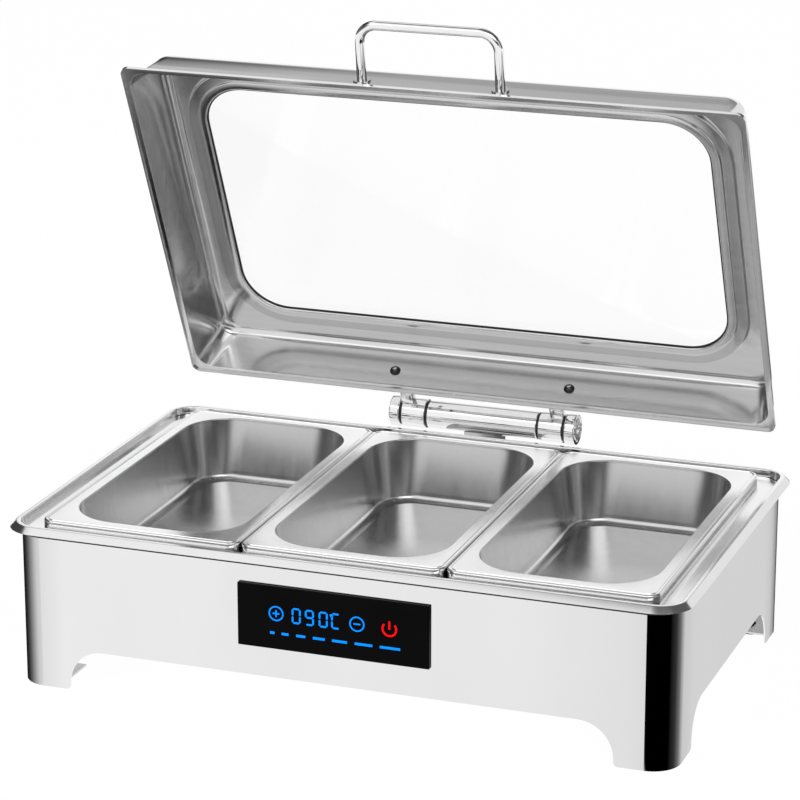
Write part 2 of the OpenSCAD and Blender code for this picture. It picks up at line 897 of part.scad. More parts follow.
module bracket_screws() {
    color("#8a8d90")
        bracket_screw_places()
            translate([0, 0, -bracket_plate_t]) {
                translate([0, 0, -3])
                    cylinder(h = 3, d = 1.8 * bracket_screw_d);
                cylinder(h = bracket_screw_len, d = bracket_screw_d);
            }
}

module hinge_barrel() {
    color("#d5d8db")
        difference() {
            along_hinge(-barrel_len / 2, barrel_len, barrel_d);
            hinge_bore(pin_d + 2 * bush_wall);
        }
}

module hinge_bushes() {
    color("#b08d57")
        for (x = [-barrel_len / 2, barrel_len / 2 - bush_len])
            difference() {
                along_hinge(x, bush_len, pin_d + 2 * bush_wall);
                hinge_bore(pin_d + 2 * run_clear);
            }
}

// Turns what is drawn in the closed lid's place about the hinge axis to the open pose
module lid_pose() {
    translate([0, hinge_y, hinge_z])
        rotate([-open_angle, 0, 0])
            translate([0, -hinge_y, -hinge_z])
                children();
}

// Places a piece on the outside of a lid wall, with y pointing out of the wall
module on_wall(side, x, up) {
    inset = (up - wall_low) * tan(lean(side));
    translate([x, side * (wall_d / 2 + lid_t - inset), lid_z + up])
        rotate([side * lean(side), 0, 0])
            mirror([0, side < 0 ? 1 : 0, 0])
                children();
}

module hinge_pin() {
    color("#c9ccd0")
        lid_pose()
            along_hinge(-pin_half, 2 * pin_half, pin_d);
}

// Sleeve on the hinge pin, with an arm to a pad on the lid's rear wall
module hinge_arm(side) {
    pad_x = side < 0 ? -arm_pad_x1 : sleeve_x0;
    sleeve_x = side < 0 ? -sleeve_x1 : sleeve_x0;
    arm_x = side < 0 ? -sleeve_x1 : sleeve_x1 - arm_w;
    wall_y = wall_d / 2 + lid_t;
    color("#d5d8db")
        lid_pose()
            difference() {
                union() {
                    along_hinge(sleeve_x, sleeve_len, sleeve_d);
                    translate([arm_x, wall_y, arm_low_z])
                        cube([arm_w, hinge_y - wall_y, arm_t]);
                    on_wall(1, pad_x, arm_up)
                        translate([0, run_clear, -arm_pad_h / 2])
                            cube([arm_pad_x1 - sleeve_x0, arm_pad_t, arm_pad_h]);
                }
                hinge_bore(pin_d + 2 * run_clear);
                on_wall(1, side * arm_screw_x, arm_up)
                    rotate([90, 0, 0])
                        cylinder(h = 4 * arm_pad_t, d = arm_screw_d + 2 * fit_clear, center = true);
            }
}

module hinge_arm_left() {
    hinge_arm(-1);
}

module hinge_arm_right() {
    hinge_arm(1);
}

module hinge_caps() {
    color("#d5d8db")
        lid_pose()
            for (s = [-1, 1])
                difference() {
                    along_hinge(s < 0 ? -cap_x0 - cap_len : cap_x0, cap_len, cap_d);
                    along_hinge(s < 0 ? -pin_half : cap_x0 - cut, pin_seat + cut, pin_d + 2 * run_clear);
                    translate([s * (cap_x0 + cap_len), hinge_y, hinge_z])
                        rotate([0, 90, 0])
                            difference() {
                                cylinder(h = 2 * ring_groove, d = cap_d - 6, center = true);
                                cylinder(h = 4 * ring_groove, d = cap_d - 10, center = true);
                            }
                }
}

module arm_screws() {
    color("#3a3b3d")
        lid_pose()
            for (s = [-1, 1])
                on_wall(1, s * arm_screw_x, arm_up)
                    translate([0, -sheet(1), 0])
                        rotate([-90, 0, 0]) {
                            cylinder(h = arm_screw_len, d = arm_screw_d);
                            translate([0, 0, -dome_h])
                                cylinder(h = dome_h, d1 = 0.7 * dome_d, d2 = dome_d);
                        }
}

// Space under the lid's walls and top, grown outwards by a thickness
module lid_dome(grow, low) {
    half_d = wall_d / 2 + grow;
    half_w = wall_w / 2 + grow;
    side_slope = side_draft / (side_c[1] - wall_low);
    foot_lean = (wall_low - low) * [tan(front_lean), tan(rear_lean), side_slope];
    translate([0, 0, lid_z])
        intersection() {
            rotate([90, 0, 90])
                linear_extrude(2 * half_w + 4 * cut, center = true)
                    polygon(concat(
                        [[half_d + foot_lean[1], low]], arc(rear_c, lid_crown + grow, 0, 90),
                        arc(front_c, front_crown + grow, 90, 180), [[-half_d - foot_lean[0], low]]
                    ));
            rotate([90, 0, 0])
                linear_extrude(2 * half_d + 4 * cut, center = true)
                    polygon(concat(
                        [[half_w + foot_lean[2], low]], arc(side_c, lid_crown + grow, 0, 90),
                        arc([-side_c[0], side_c[1]], lid_crown + grow, 90, 180),
                        [[-half_w - foot_lean[2], low]]
                    ));
            translate([0, 0, low - cut])
                linear_extrude(lid_h + 2 * cut)
                    round_rect(2 * half_w + 2 * cut, 2 * half_d + 2 * cut, lid_r + grow);
        }
}

module lid_shell() {
    color("lightgray")
        lid_pose()
            difference() {
                union() {
                    band(lid_w, lid_d, lid_corner_r, lid_t, lid_z, hem_h);
                    difference() {
                        union() {
                            plate(lid_w, lid_d, lid_corner_r, rim_z, lid_t);
                            lid_dome(lid_t, wall_low);
                        }
                        lid_dome(0, wall_low - cut);
                        translate([0, window_y, 0])
                            plate(ledge_w - 2 * lid_t, ledge_d - 2 * lid_t, ledge_r - lid_t,
                                  lid_z + lid_h - 2 * lid_t, 3 * lid_t);
                    }
                    translate([0, window_y, 0]) {
                        band(ledge_w, ledge_d, ledge_r, lid_t, ledge_z, ledge_drop + lid_t);
                        translate([0, 0, ledge_z])
                            linear_extrude(lid_t)
                                difference() {
                                    round_rect(ledge_w, ledge_d, ledge_r);
                                    round_rect(window_w, window_d, window_r);
                                }
                        band(window_w + 2 * lid_t, window_d + 2 * lid_t, window_r + lid_t, lid_t,
                             ledge_z - window_hem, window_hem);
                    }
                }
                for (s = [-1, 1])
                    on_wall(1, s * arm_screw_x, arm_up)
                        rotate([90, 0, 0])
                            cylinder(h = 6 * lid_t, d = arm_screw_d + 2 * fit_clear, center = true);
                for (s = [-1, 1])
                    on_wall(-1, s * handle_span / 2, handle_up)
                        rotate([90, 0, 0])
                            cylinder(h = 6 * lid_t, d = handle_screw_d + 2 * fit_clear, center = true);
            }
}

module lid_glass() {
    color([0.8, 0.9, 0.92, 0.4])
        lid_pose()
            translate([0, window_y, 0])
                plate(glass_w, glass_d, glass_r, glass_z, glass_t);
}

module glass_seal() {
    seal_w = (glass_w - window_w) / 2;
    color("#151515")
        lid_pose()
            translate([0, window_y, 0])
                band(glass_w, glass_d, glass_r, seal_w, glass_z - seal_t, seal_t);
}

// Bent rod: two legs, two round bends and a bar
module lid_handle() {
    half = handle_span / 2;
    leg = handle_reach - handle_bend;
    color("#d5d8db")
        lid_pose()
            on_wall(-1, 0, handle_up)
                for (s = [-1, 1]) {
                    difference() {
                        translate([s * half, washer_t, 0])
                            rotate([-90, 0, 0])
                                cylinder(h = leg - washer_t, d = handle_d);
                        translate([s * half, 0, 0])
                            rotate([-90, 0, 0])
                                cylinder(h = handle_screw_len + cut, d = handle_screw_d + 2 * fit_clear);
                    }
                    translate([s * (half - handle_bend), leg, 0])
                        rotate(s < 0 ? 90 : 0)
                            rotate_extrude(angle = 90)
                                translate([handle_bend, 0])
                                    circle(d = handle_d);
                    translate([0, handle_reach, 0])
                        rotate([0, s * 90, 0])
                            cylinder(h = half - handle_bend, d = handle_d);
                }
}

module handle_washers() {
    color("#d5d8db")
        lid_pose()
            for (s = [-1, 1])
                on_wall(-1, s * handle_span / 2, handle_up)
                    rotate([-90, 0, 0])
                        difference() {
                            translate([0, 0, run_clear])
                                cylinder(h = washer_t - run_clear, d = washer_d);
                            translate([0, 0, -cut])
                                cylinder(h = washer_t + 2 * cut, d = handle_screw_d + 2 * fit_clear);
                        }
}

module handle_screws() {
    color("#8a8d90")
        lid_pose()
            for (s = [-1, 1])
                on_wall(-1, s * handle_span / 2, handle_up)
                    translate([0, -sheet(-1), 0])
                        rotate([-90, 0, 0]) {
                            cylinder(h = handle_screw_len, d = handle_screw_d);
                            translate([0, 0, -dome_h])
                                cylinder(h = dome_h, d1 = 0.7 * dome_d, d2 = dome_d);
                        }
}

housing();
corner_brackets();
rubber_feet();
base_plate();
base_screws();
water_pan();
food_pan_left();
food_pan_middle();
food_pan_right();
heating_element();
element_clamps();
insulation_pad();
heat_shield();
shield_spacers();
thermal_cutout();
temperature_probe();
control_panel_glass();
display_module();
display_board();
control_box();
power_board();
board_standoffs();
power_relay();
board_transformer();
terminal_block();
wiring();
power_inlet();
inlet_screws();
hinge_bracket();
bracket_screws();
hinge_barrel();
hinge_bushes();
hinge_pin();
hinge_arm_left();
hinge_arm_right();
hinge_caps();
arm_screws();
lid_shell();
lid_glass();
glass_seal();
lid_handle();
handle_washers();
handle_screws();
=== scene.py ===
"""Looks of the electric chafing dish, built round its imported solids."""

import json
import math

import bmesh
import bpy
from mathutils import Matrix, Vector


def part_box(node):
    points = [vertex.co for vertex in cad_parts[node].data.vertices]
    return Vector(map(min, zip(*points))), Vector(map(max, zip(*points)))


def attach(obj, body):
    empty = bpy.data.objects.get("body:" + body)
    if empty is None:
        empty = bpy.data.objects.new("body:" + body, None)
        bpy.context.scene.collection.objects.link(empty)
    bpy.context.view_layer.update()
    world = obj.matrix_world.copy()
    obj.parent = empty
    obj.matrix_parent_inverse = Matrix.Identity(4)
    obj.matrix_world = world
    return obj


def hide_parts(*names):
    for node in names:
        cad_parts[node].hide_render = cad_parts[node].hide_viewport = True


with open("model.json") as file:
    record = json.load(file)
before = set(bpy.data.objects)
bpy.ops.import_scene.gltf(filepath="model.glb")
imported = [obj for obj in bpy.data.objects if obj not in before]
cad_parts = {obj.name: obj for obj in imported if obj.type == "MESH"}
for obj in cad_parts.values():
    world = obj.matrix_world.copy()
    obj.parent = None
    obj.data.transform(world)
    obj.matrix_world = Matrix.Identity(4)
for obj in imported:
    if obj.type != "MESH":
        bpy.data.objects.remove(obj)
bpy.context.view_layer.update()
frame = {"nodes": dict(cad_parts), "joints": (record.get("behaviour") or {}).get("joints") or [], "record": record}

# Sizes are in millimetres, as in the solids, and become metres when a mesh is made
MM = 0.001
CORNER_STEPS = 12
ROUND_STEPS = 72
ARC_STEPS = 8
EDGE_STEPS = 5
SHARP_ANGLE = 38
# Points of a mesh that lie closer than this are merged, in metres
MERGE_DISTANCE = 1e-6


def box_mm(node):
    """Lowest and highest corner of a CAD node, in millimetres."""
    low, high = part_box(node)
    return low / MM, high / MM


joints = {joint["name"]: joint for joint in frame["joints"]}
hinge = Vector(joints["lid_hinge"]["pos_m"]) / MM
open_angle = -joints["lid_hinge"]["range_deg"][0]
about_hinge = Matrix.Rotation(math.radians(-open_angle), 4, "X")
LID_POSE = Matrix.Translation(hinge) @ about_hinge @ Matrix.Translation(-hinge)

body_high = box_mm("housing")[1]
rim_low, rim_high = box_mm("water_pan")
panel_low, panel_high = box_mm("control_panel_glass")
barrel_low, barrel_high = box_mm("hinge_barrel")


# Materials

EVEN = (1, 1, 1)
NOISE_DETAIL = 4.0
# Noise keeps near its middle, so a range is spread over this stretch of it
NOISE_LOW, NOISE_HIGH = 0.3, 0.7
FINE_RELIEF = 0.0002


def node_material(name):
    """A new node material, with its tree and its shader."""
    material = bpy.data.materials.new(name)
    material.use_nodes = True
    tree = material.node_tree
    return material, tree, tree.nodes["Principled BSDF"]


def noise(tree, scale, stretch=EVEN):
    """Noise over the piece's own coordinates, in metres."""
    place = tree.nodes.new("ShaderNodeTexCoord")
    mapping = tree.nodes.new("ShaderNodeMapping")
    mapping.inputs["Scale"].default_value = stretch
    texture = tree.nodes.new("ShaderNodeTexNoise")
    texture.inputs["Scale"].default_value = scale
    texture.inputs["Detail"].default_value = NOISE_DETAIL
    tree.links.new(place.outputs["Object"], mapping.inputs["Vector"])
    tree.links.new(mapping.outputs["Vector"], texture.inputs["Vector"])
    return texture.outputs["Fac"]


def spread(tree, value, low, high):
    """Carries a noise value over to a range."""
    node = tree.nodes.new("ShaderNodeMapRange")
    node.inputs["From Min"].default_value = NOISE_LOW
    node.inputs["From Max"].default_value = NOISE_HIGH
    node.inputs["To Min"].default_value = low
    node.inputs["To Max"].default_value = high
    tree.links.new(value, node.inputs["Value"])
    return node.outputs["Result"]


def blend_colours(tree, value, first, second):
    """A colour between two, by a noise value."""
    ramp = tree.nodes.new("ShaderNodeValToRGB")
    ramp.color_ramp.elements[0].position = NOISE_LOW
    ramp.color_ramp.elements[0].color = (*first, 1)
    ramp.color_ramp.elements[1].position = NOISE_HIGH
    ramp.color_ramp.elements[1].color = (*second, 1)
    tree.links.new(value, ramp.inputs["Fac"])
    return ramp.outputs["Color"]


def bump(tree, shader, height, strength, distance):
    """Raises the surface by a noise value, at a depth in metres."""
    node = tree.nodes.new("ShaderNodeBump")
    node.inputs["Strength"].default_value = strength
    node.inputs["Distance"].default_value = distance
    tree.links.new(height, node.inputs["Height"])
    tree.links.new(node.outputs["Normal"], shader.inputs["Normal"])


def surface(name, first, second, rough, grain, stretch=EVEN, relief=0.0, depth=FINE_RELIEF, metallic=0.0):
    """A material whose colour and roughness vary with a grain, and whose relief follows it."""
    material, tree, shader = node_material(name)
    shader.inputs["Metallic"].default_value = metallic
    value = noise(tree, grain, stretch)
    tree.links.new(blend_colours(tree, value, first, second), shader.inputs["Base Color"])
    tree.links.new(spread(tree, value, *rough), shader.inputs["Roughness"])
    if relief:
        bump(tree, shader, value, relief, depth)
    return material


def grey(level):
    """A grey as a colour."""
    return (level, level, level)


def steel(name, first, second, rough, grain, stretch, relief, depth=FINE_RELIEF):
    """A metal between two greys."""
    return surface(name, grey(first), grey(second), rough, grain, stretch, relief, depth, metallic=1.0)


def polished_steel():
    return steel("polished_steel", 0.86, 0.9, (0.03, 0.06), 9, (1, 1, 0.4), 0.02, 0.0004)


def rim_steel():
    return steel("rim_steel", 0.87, 0.91, (0.13, 0.17), 14, EVEN, 0.004, 0.0003)


def pan_steel():
    return steel("pan_steel", 0.57, 0.61, (0.2, 0.24), 90, (1, 1, 0.2), 0.004, 0.0001)


# The pans' steel in a much brighter copy for the flange and its turned-down edge: painted highlight
def pan_rim_painted_highlight():
    return steel("pan_rim_painted_highlight", 0.94, 0.97, (0.18, 0.22), 60, EVEN, 0.004, 0.0001)


def lid_inside_steel():
    return steel("lid_inside_steel", 0.68, 0.73, (0.16, 0.2), 90, (0.1, 1, 1), 0.004, 0.0001)


# A darker copy of the lid's inside steel for the ledge strip by the window: painted shade along the step
def window_strip_painted_shade():
    return steel("window_strip_painted_shade", 0.54, 0.58, (0.16, 0.2), 90, (0.1, 1, 1), 0.004, 0.0001)


def lid_outside_steel():
    return steel("lid_outside_steel", 0.84, 0.88, (0.05, 0.09), 12, EVEN, 0.02)


def chrome():
    return steel("chrome", 0.86, 0.9, (0.03, 0.06), 60, EVEN, 0.01)


def plain_steel():
    return steel("plain_steel", 0.66, 0.76, (0.16, 0.26), 25, (1, 1, 6), 0.02)


def screw_steel():
    return steel("screw_steel", 0.42, 0.55, (0.25, 0.4), 300, EVEN, 0.05)


def dark_steel():
    return steel("dark_steel", 0.04, 0.07, (0.1, 0.16), 400, EVEN, 0.02)


def shield_sheet():
    return steel("shield_sheet", 0.7, 0.8, (0.25, 0.35), 40, (1, 10, 1), 0.05)


def element_sheath():
    dark, light = (0.24, 0.21, 0.2), (0.36, 0.33, 0.31)
    return surface("element_sheath", dark, light, (0.4, 0.6), 90, EVEN, 0.1, metallic=0.8)


def insulation():
    dark, light = (0.66, 0.6, 0.48), (0.82, 0.78, 0.68)
    return surface("insulation", dark, light, (0.85, 0.95), 220, EVEN, 0.6, 0.001)


def ceramic():
    return surface("ceramic", (0.78, 0.76, 0.7), (0.86, 0.85, 0.8), (0.3, 0.45), 120, EVEN, 0.08)


def black_plastic():
    return surface("black_plastic", grey(0.012), grey(0.022), (0.38, 0.5), 500, EVEN, 0.12)


def blue_plastic():
    return surface("blue_plastic", (0.02, 0.07, 0.26), (0.03, 0.1, 0.32), (0.25, 0.35), 200, EVEN, 0.05)


def yellow_tape():
    return surface("yellow_tape", (0.62, 0.42, 0.06), (0.74, 0.54, 0.12), (0.3, 0.45), 60, (1, 1, 9), 0.2)


def circuit_board():
    dark, light = (0.01, 0.09, 0.04), (0.02, 0.15, 0.07)
    return surface("circuit_board", dark, light, (0.3, 0.42), 260, (3, 1, 1), 0.1)


def wire_sleeve():
    return surface("wire_sleeve", (0.3, 0.03, 0.02), (0.42, 0.06, 0.04), (0.5, 0.65), 400, EVEN, 0.15)


def black_rubber():
    return surface("black_rubber", grey(0.008), grey(0.018), (0.6, 0.78), 600, EVEN, 0.25)


def brass(name, first, second):
    return surface(name, first, second, (0.22, 0.34), 150, (8, 1, 1), 0.05, metallic=1.0)


def panel_glass():
    material = surface("panel_glass", grey(0.003), grey(0.005), (0.04, 0.08), 20)
    material.node_tree.nodes["Principled BSDF"].inputs["Specular IOR Level"].default_value = 0.04
    return material


def window_glass():
    material = surface("window_glass", (0.93, 0.97, 0.96), (0.96, 0.98, 0.98), (0.0, 0.015), 6)
    shader = material.node_tree.nodes["Principled BSDF"]
    shader.inputs["Transmission Weight"].default_value = 1.0
    shader.inputs["IOR"].default_value = 1.45
    shader.inputs["Alpha"].default_value = 0.06
    return material


SIGN_GRAIN = 180
SIGN_DIMMEST = 0.86


def lit_sign(name, colour, strength):
    """A lit sign whose brightness is a little uneven."""
    material, tree, shader = node_material(name)
    value = noise(tree, SIGN_GRAIN)
    shade = tuple(SIGN_DIMMEST * part for part in colour)
    tree.links.new(blend_colours(tree, value, shade, colour), shader.inputs["Emission Color"])
    shader.inputs["Base Color"].default_value = (*colour, 1)
    shader.inputs["Emission Strength"].default_value = strength
    shader.inputs["Roughness"].default_value = 0.3
    shader.inputs["Specular IOR Level"].default_value = 0.1
    return material


FINISHES = {
    "polished_steel": polished_steel(),
    "rim_steel": rim_steel(),
    "pan_steel": pan_steel(),
    "lid_steel": lid_inside_steel(),
    "plain_steel": plain_steel(),
    "screw_steel": screw_steel(),
    "dark_steel": dark_steel(),
    "chrome": chrome(),
    "element_sheath": element_sheath(),
    "shield_sheet": shield_sheet(),
    "insulation": insulation(),
    "ceramic": ceramic(),
    "black_plastic": black_plastic(),
    "blue_plastic": blue_plastic(),
    "yellow_plastic": yellow_tape(),
    "circuit_board": circuit_board(),
    "wire_sleeve": wire_sleeve(),
    "black_rubber": black_rubber(),
    "probe_brass": brass("probe_brass", (0.6, 0.42, 0.16), (0.72, 0.54, 0.25)),
    "bush_brass": brass("bush_brass", (0.5, 0.33, 0.13), (0.62, 0.44, 0.2)),
    "panel_glass": panel_glass(),
    "window_glass": window_glass(),
}
PAN_RIM_PAINTED_HIGHLIGHT = pan_rim_painted_highlight()
LID_OUTSIDE = lid_outside_steel()
WINDOW_STRIP_PAINTED_SHADE = window_strip_painted_shade()
BLUE_SIGN = lit_sign("blue_sign", (0.0, 0.25, 1.0), 1.0)
RED_SIGN = lit_sign("red_sign", (1.0, 0.0, 0.003), 0.9)


def dress_solids():
    """Gives every CAD node the material of its slot in the record."""
    for subpart in frame["record"]["subparts"]:
        node = frame["nodes"][subpart["node"]]
        node.data.materials.clear()
        node.data.materials.append(FINISHES[subpart["material_slot"]])


# Shapes


class Form:
    """Points and faces of one piece, in millimetres."""

    def __init__(self):
        self.points = []
        self.faces = []
        self.parts = []

    def add(self, points, faces, part=0, pose=None):
        start = len(self.points)
        for point in points:
            self.points.append(pose @ Vector(point) if pose else Vector(point))
        for face in faces:
            self.faces.append([start + index for index in face])
            self.parts.append(part)

    def loft(self, rings, part=0, closed=False, first_cap=False, last_cap=False, pose=None):
        """A skin over rings that have the same number of points."""
        count = len(rings[0])
        faces = []
        last = len(rings) if closed else len(rings) - 1
        for i in range(last):
            near, far = i * count, (i + 1) % len(rings) * count
            for k in range(count):
                after = (k + 1) % count
                faces.append([near + k, near + after, far + after, far + k])
        if first_cap:
            faces.append(list(reversed(range(count))))
        if last_cap:
            faces.append(list(range((len(rings) - 1) * count, len(rings) * count)))
        self.add([point for ring in rings for point in ring], faces, part, pose)

    def bar(self, rings, pose):
        """A skin over rings, closed at both ends."""
        self.loft(rings, first_cap=True, last_cap=True, pose=pose)

    def prism(self, outline, depth, pose):
        """An outline in x and y, raised by a depth along z and put in place."""
        self.bar([[(x, y, 0) for x, y in outline], [(x, y, depth) for x, y in outline]], pose)


def rounded(x0, x1, y0, y1, radius, z):
    """A ring of points round a rounded rectangle."""
    ring = []
    corners = ((x1, y1, -1, -1, 0), (x0, y1, 1, -1, 90), (x0, y0, 1, 1, 180), (x1, y0, -1, 1, 270))
    for x, y, side_x, side_y, start in corners:
        for i in range(CORNER_STEPS + 1):
            turn = math.radians(start + 90 * i / CORNER_STEPS)
            cx, cy = x + side_x * radius, y + side_y * radius
            ring.append((cx + radius * math.cos(turn), cy + radius * math.sin(turn), z))
    return ring


def arc(centre, radius, start, end, steps=ARC_STEPS):
    """Points of an arc in a profile."""
    points = []
    for i in range(steps + 1):
        turn = math.radians(start + (end - start) * i / steps)
        points.append((centre[0] + radius * math.cos(turn), centre[1] + radius * math.sin(turn)))
    return points


def turned(profile, steps=ROUND_STEPS):
    """Rings of a turned piece about x, from a profile of place along x and radius."""
    rings = []
    for x, radius in profile:
        ring = []
        for k in range(steps):
            turn = 2 * math.pi * k / steps
            ring.append((x, radius * math.cos(turn), radius * math.sin(turn)))
        rings.append(ring)
    return rings


def soften(x0, x1, radius, edge):
    """Profile of a turned bar from x0 to x1 with rounded ends."""
    start = arc((x0 + edge, radius - edge), edge, 180, 90, EDGE_STEPS)
    end = arc((x1 - edge, radius - edge), edge, 90, 0, EDGE_STEPS)
    return start + end


def block(form, low, high, edge, pose=None):
    """A box with rounded edges, between two corners."""
    mesh = bmesh.new()
    bmesh.ops.create_cube(mesh, size=1)
    centre = (Vector(low) + Vector(high)) / 2
    size = Vector(high) - Vector(low)
    bmesh.ops.scale(mesh, vec=size, verts=mesh.verts)
    bmesh.ops.bevel(mesh, geom=mesh.edges, offset=edge, segments=4, profile=0.5, affect="EDGES")
    bmesh.ops.translate(mesh, vec=centre, verts=mesh.verts)
    mesh.verts.index_update()
    points = [tuple(vertex.co) for vertex in mesh.verts]
    faces = [[vertex.index for vertex in face.verts] for face in mesh.faces]
    mesh.free()
    form.add(points, faces, pose=pose)


def piece(name, form, materials, body, stands_for=()):
    """Makes a piece from a form and lets it ride on a CAD body."""
    mesh = bpy.data.meshes.new(name)
    mesh.from_pydata([tuple(point * MM) for point in form.points], [], form.faces)
    for material in materials:
        mesh.materials.append(material)
    for polygon, part in zip(mesh.polygons, form.parts):
        polygon.material_index = part
        polygon.use_smooth = True
    work = bmesh.new()
    work.from_mesh(mesh)
    bmesh.ops.remove_doubles(work, verts=work.verts, dist=MERGE_DISTANCE)
    bmesh.ops.recalc_face_normals(work, faces=work.faces)
    work.to_mesh(mesh)
    work.free()
    mesh.set_sharp_from_angle(angle=math.radians(SHARP_ANGLE))
    thing = bpy.data.objects.new(name, mesh)
    bpy.context.scene.collection.objects.link(thing)
    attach(thing, body)
    if stands_for:
        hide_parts(*stands_for)
    return thing


def thicken(thing, thickness):
    """Gives a skin its sheet thickness, away from its face side."""
    solid = thing.modifiers.new("sheet", "SOLIDIFY")
    solid.thickness = thickness * MM
    solid.offset = -1
    solid.use_even_offset = True


# Food pans

PAN_SIDE_FLANGE, PAN_FRONT_FLANGE, PAN_REAR_FLANGE = 13, 15, 12
PAN_RADIUS = 44
PAN_FLOOR_RADIUS = 33
PAN_CORNER = 10.5
PAN_EDGE = 1.5
PAN_LIP = 1
GROOVE_FROM_EDGE = 3.2
GROOVE_WIDTH = 1.6
GROOVE_DEPTH = 0.6
# Points across the groove, in shares of its width and of its depth
GROOVE_SECTION = ((-0.5, 0), (-0.25, 1), (0.25, 1), (0.5, 0))
# Share of its inset that the groove's corner radius loses
GROOVE_TIGHTENING = 0.9
PAN_SIDE_DRAFT, PAN_END_DRAFT = 7, 11
# Rings on a pan's wall, in shares of the way from its lip to its foot
PAN_WALL_RINGS = (0.04, 0.35, 0.65, 0.96)
PAN_FILLET = 6
PAN_SHEET = 1
PAN_CHANNEL = 5
CHANNEL_SLOPE = 2.5
PAN_FLOOR_RISE = 0.8
PAN_FLOOR_EDGE = 1
PAN_SEAT = 1.4


def pan_form(low, high):
    """A pressed pan: turned-down edge and flange, then lip, leaning walls, channel and raised floor."""
    floor = low.z + PAN_SHEET

    def edge_ring(grow, radius, z):
        return rounded(low.x - grow, high.x + grow, low.y - grow, high.y + grow, radius, z)

    def wall_ring_at(lean, grow, z):
        """A ring that has leaned in by a share of the draft, and grown from there."""
        side, end = lean * PAN_SIDE_DRAFT - grow, lean * PAN_END_DRAFT - grow
        radius = PAN_RADIUS + lean * (PAN_FLOOR_RADIUS - PAN_RADIUS) + grow
        x0, x1 = low.x + PAN_SIDE_FLANGE + side, high.x - PAN_SIDE_FLANGE - side
        y0, y1 = low.y + PAN_FRONT_FLANGE + end, high.y - PAN_REAR_FLANGE - end
        return rounded(x0, x1, y0, y1, radius, z)

    flange = [edge_ring(0, PAN_CORNER, body_high.z + PAN_SEAT)]
    for x, z in arc((-PAN_EDGE, high.z - PAN_EDGE), PAN_EDGE, 0, 90):
        flange.append(edge_ring(x, PAN_CORNER + x, z))
    for across, sunk in GROOVE_SECTION:
        inset = GROOVE_FROM_EDGE + across * GROOVE_WIDTH
        radius = PAN_CORNER - inset * GROOVE_TIGHTENING
        flange.append(edge_ring(-inset, radius, high.z - sunk * GROOVE_DEPTH))
    flange.append(wall_ring_at(0, PAN_LIP, high.z))
    walls = []
    for x, z in arc((PAN_LIP, high.z - PAN_LIP), PAN_LIP, 90, 180):
        walls.append(wall_ring_at(0, x, z))
    wall_top, wall_foot = high.z - PAN_LIP, floor + PAN_FILLET
    for lean in PAN_WALL_RINGS:
        walls.append(wall_ring_at(lean, 0, wall_top + lean * (wall_foot - wall_top)))
    for x, z in arc((-PAN_FILLET, floor + PAN_FILLET), PAN_FILLET, 0, -90):
        walls.append(wall_ring_at(1, x, z))
    channel = -PAN_FILLET - PAN_CHANNEL
    walls.append(wall_ring_at(1, channel + CHANNEL_SLOPE, floor))
    walls.append(wall_ring_at(1, channel, floor + PAN_FLOOR_RISE))
    walls.append(wall_ring_at(1, channel - PAN_FLOOR_EDGE, floor + PAN_FLOOR_RISE))
    form = Form()
    # The flange takes the brighter copy of the pans' steel: painted highlight
    form.loft(flange, 1)
    form.loft(walls, last_cap=True)
    return form


def food_pans():
    for side in ("left", "middle", "right"):
        node = f"food_pan_{side}"
        form = pan_form(*box_mm(node))
        finishes = [FINISHES["pan_steel"], PAN_RIM_PAINTED_HIGHLIGHT]
        pan = piece(f"pressed_pan_{side}", form, finishes, f"{side}_pan", [node])
        thicken(pan, PAN_SHEET)


# Water pan with its rim

GUTTER_Z = body_high.z + 1.2
RIDGE_WIDTH = 4
RIDGE_SETBACK = 0.3
RIM_EDGE = 1.1
SKIRT_OUT = 5.2
SKIRT_LOW = GUTTER_Z + 1.1
SKIRT_TUCK, SKIRT_BEVEL = 0.4, 0.3
RIM_RADIUS = 28
RIM_SHEET = 1.2
TUB_RADIUS = 24
TUB_HALF = (256, 153.5)
TUB_FILLET = 6
TUB_FILLET_STEPS = 6


def centred_ring(half_w, half_d, radius, grow, z):
    """A ring about the middle of the dish, grown by the same on every side."""
    return rounded(-half_w - grow, half_w + grow, -half_d - grow, half_d + grow, radius + grow, z)


def water_pan():
    """The pressed water pan: skirt, ridge, gutter and tub in one sheet."""
    ridge = rim_high.z

    def ring(grow, z):
        return centred_ring(rim_high.x, rim_high.y, RIM_RADIUS, grow, z)

    def tub_ring(grow, z):
        return centred_ring(*TUB_HALF, TUB_RADIUS, grow, z)

    rings = [ring(-SKIRT_TUCK, SKIRT_LOW), ring(0, SKIRT_LOW + SKIRT_BEVEL)]
    lean = math.degrees(math.atan2(SKIRT_OUT, ridge - SKIRT_LOW))
    gutter = -SKIRT_OUT - RIDGE_WIDTH
    for x, z in arc((-SKIRT_OUT - RIDGE_SETBACK, ridge - RIM_EDGE), RIM_EDGE, lean, 90, EDGE_STEPS):
        rings.append(ring(x, z))
    for x, z in arc((gutter + RIM_EDGE, ridge - RIM_EDGE), RIM_EDGE, 90, 180, EDGE_STEPS):
        rings.append(ring(x, z))
    for x, z in arc((gutter - RIM_EDGE, GUTTER_Z + RIM_EDGE), RIM_EDGE, 0, -90, EDGE_STEPS):
        rings.append(ring(x, z))
    for x, z in arc((RIM_EDGE, GUTTER_Z - RIM_EDGE), RIM_EDGE, 90, 180, EDGE_STEPS):
        rings.append(tub_ring(x, z))
    floor = rim_low.z + RIM_SHEET
    for x, z in arc((-TUB_FILLET, floor + TUB_FILLET), TUB_FILLET, 0, -90, TUB_FILLET_STEPS):
        rings.append(tub_ring(x, z))
    form = Form()
    form.loft(rings, last_cap=True)
    pan = piece("pressed_water_pan", form, [FINISHES["rim_steel"]], "body", ["water_pan"])
    thicken(pan, RIM_SHEET)


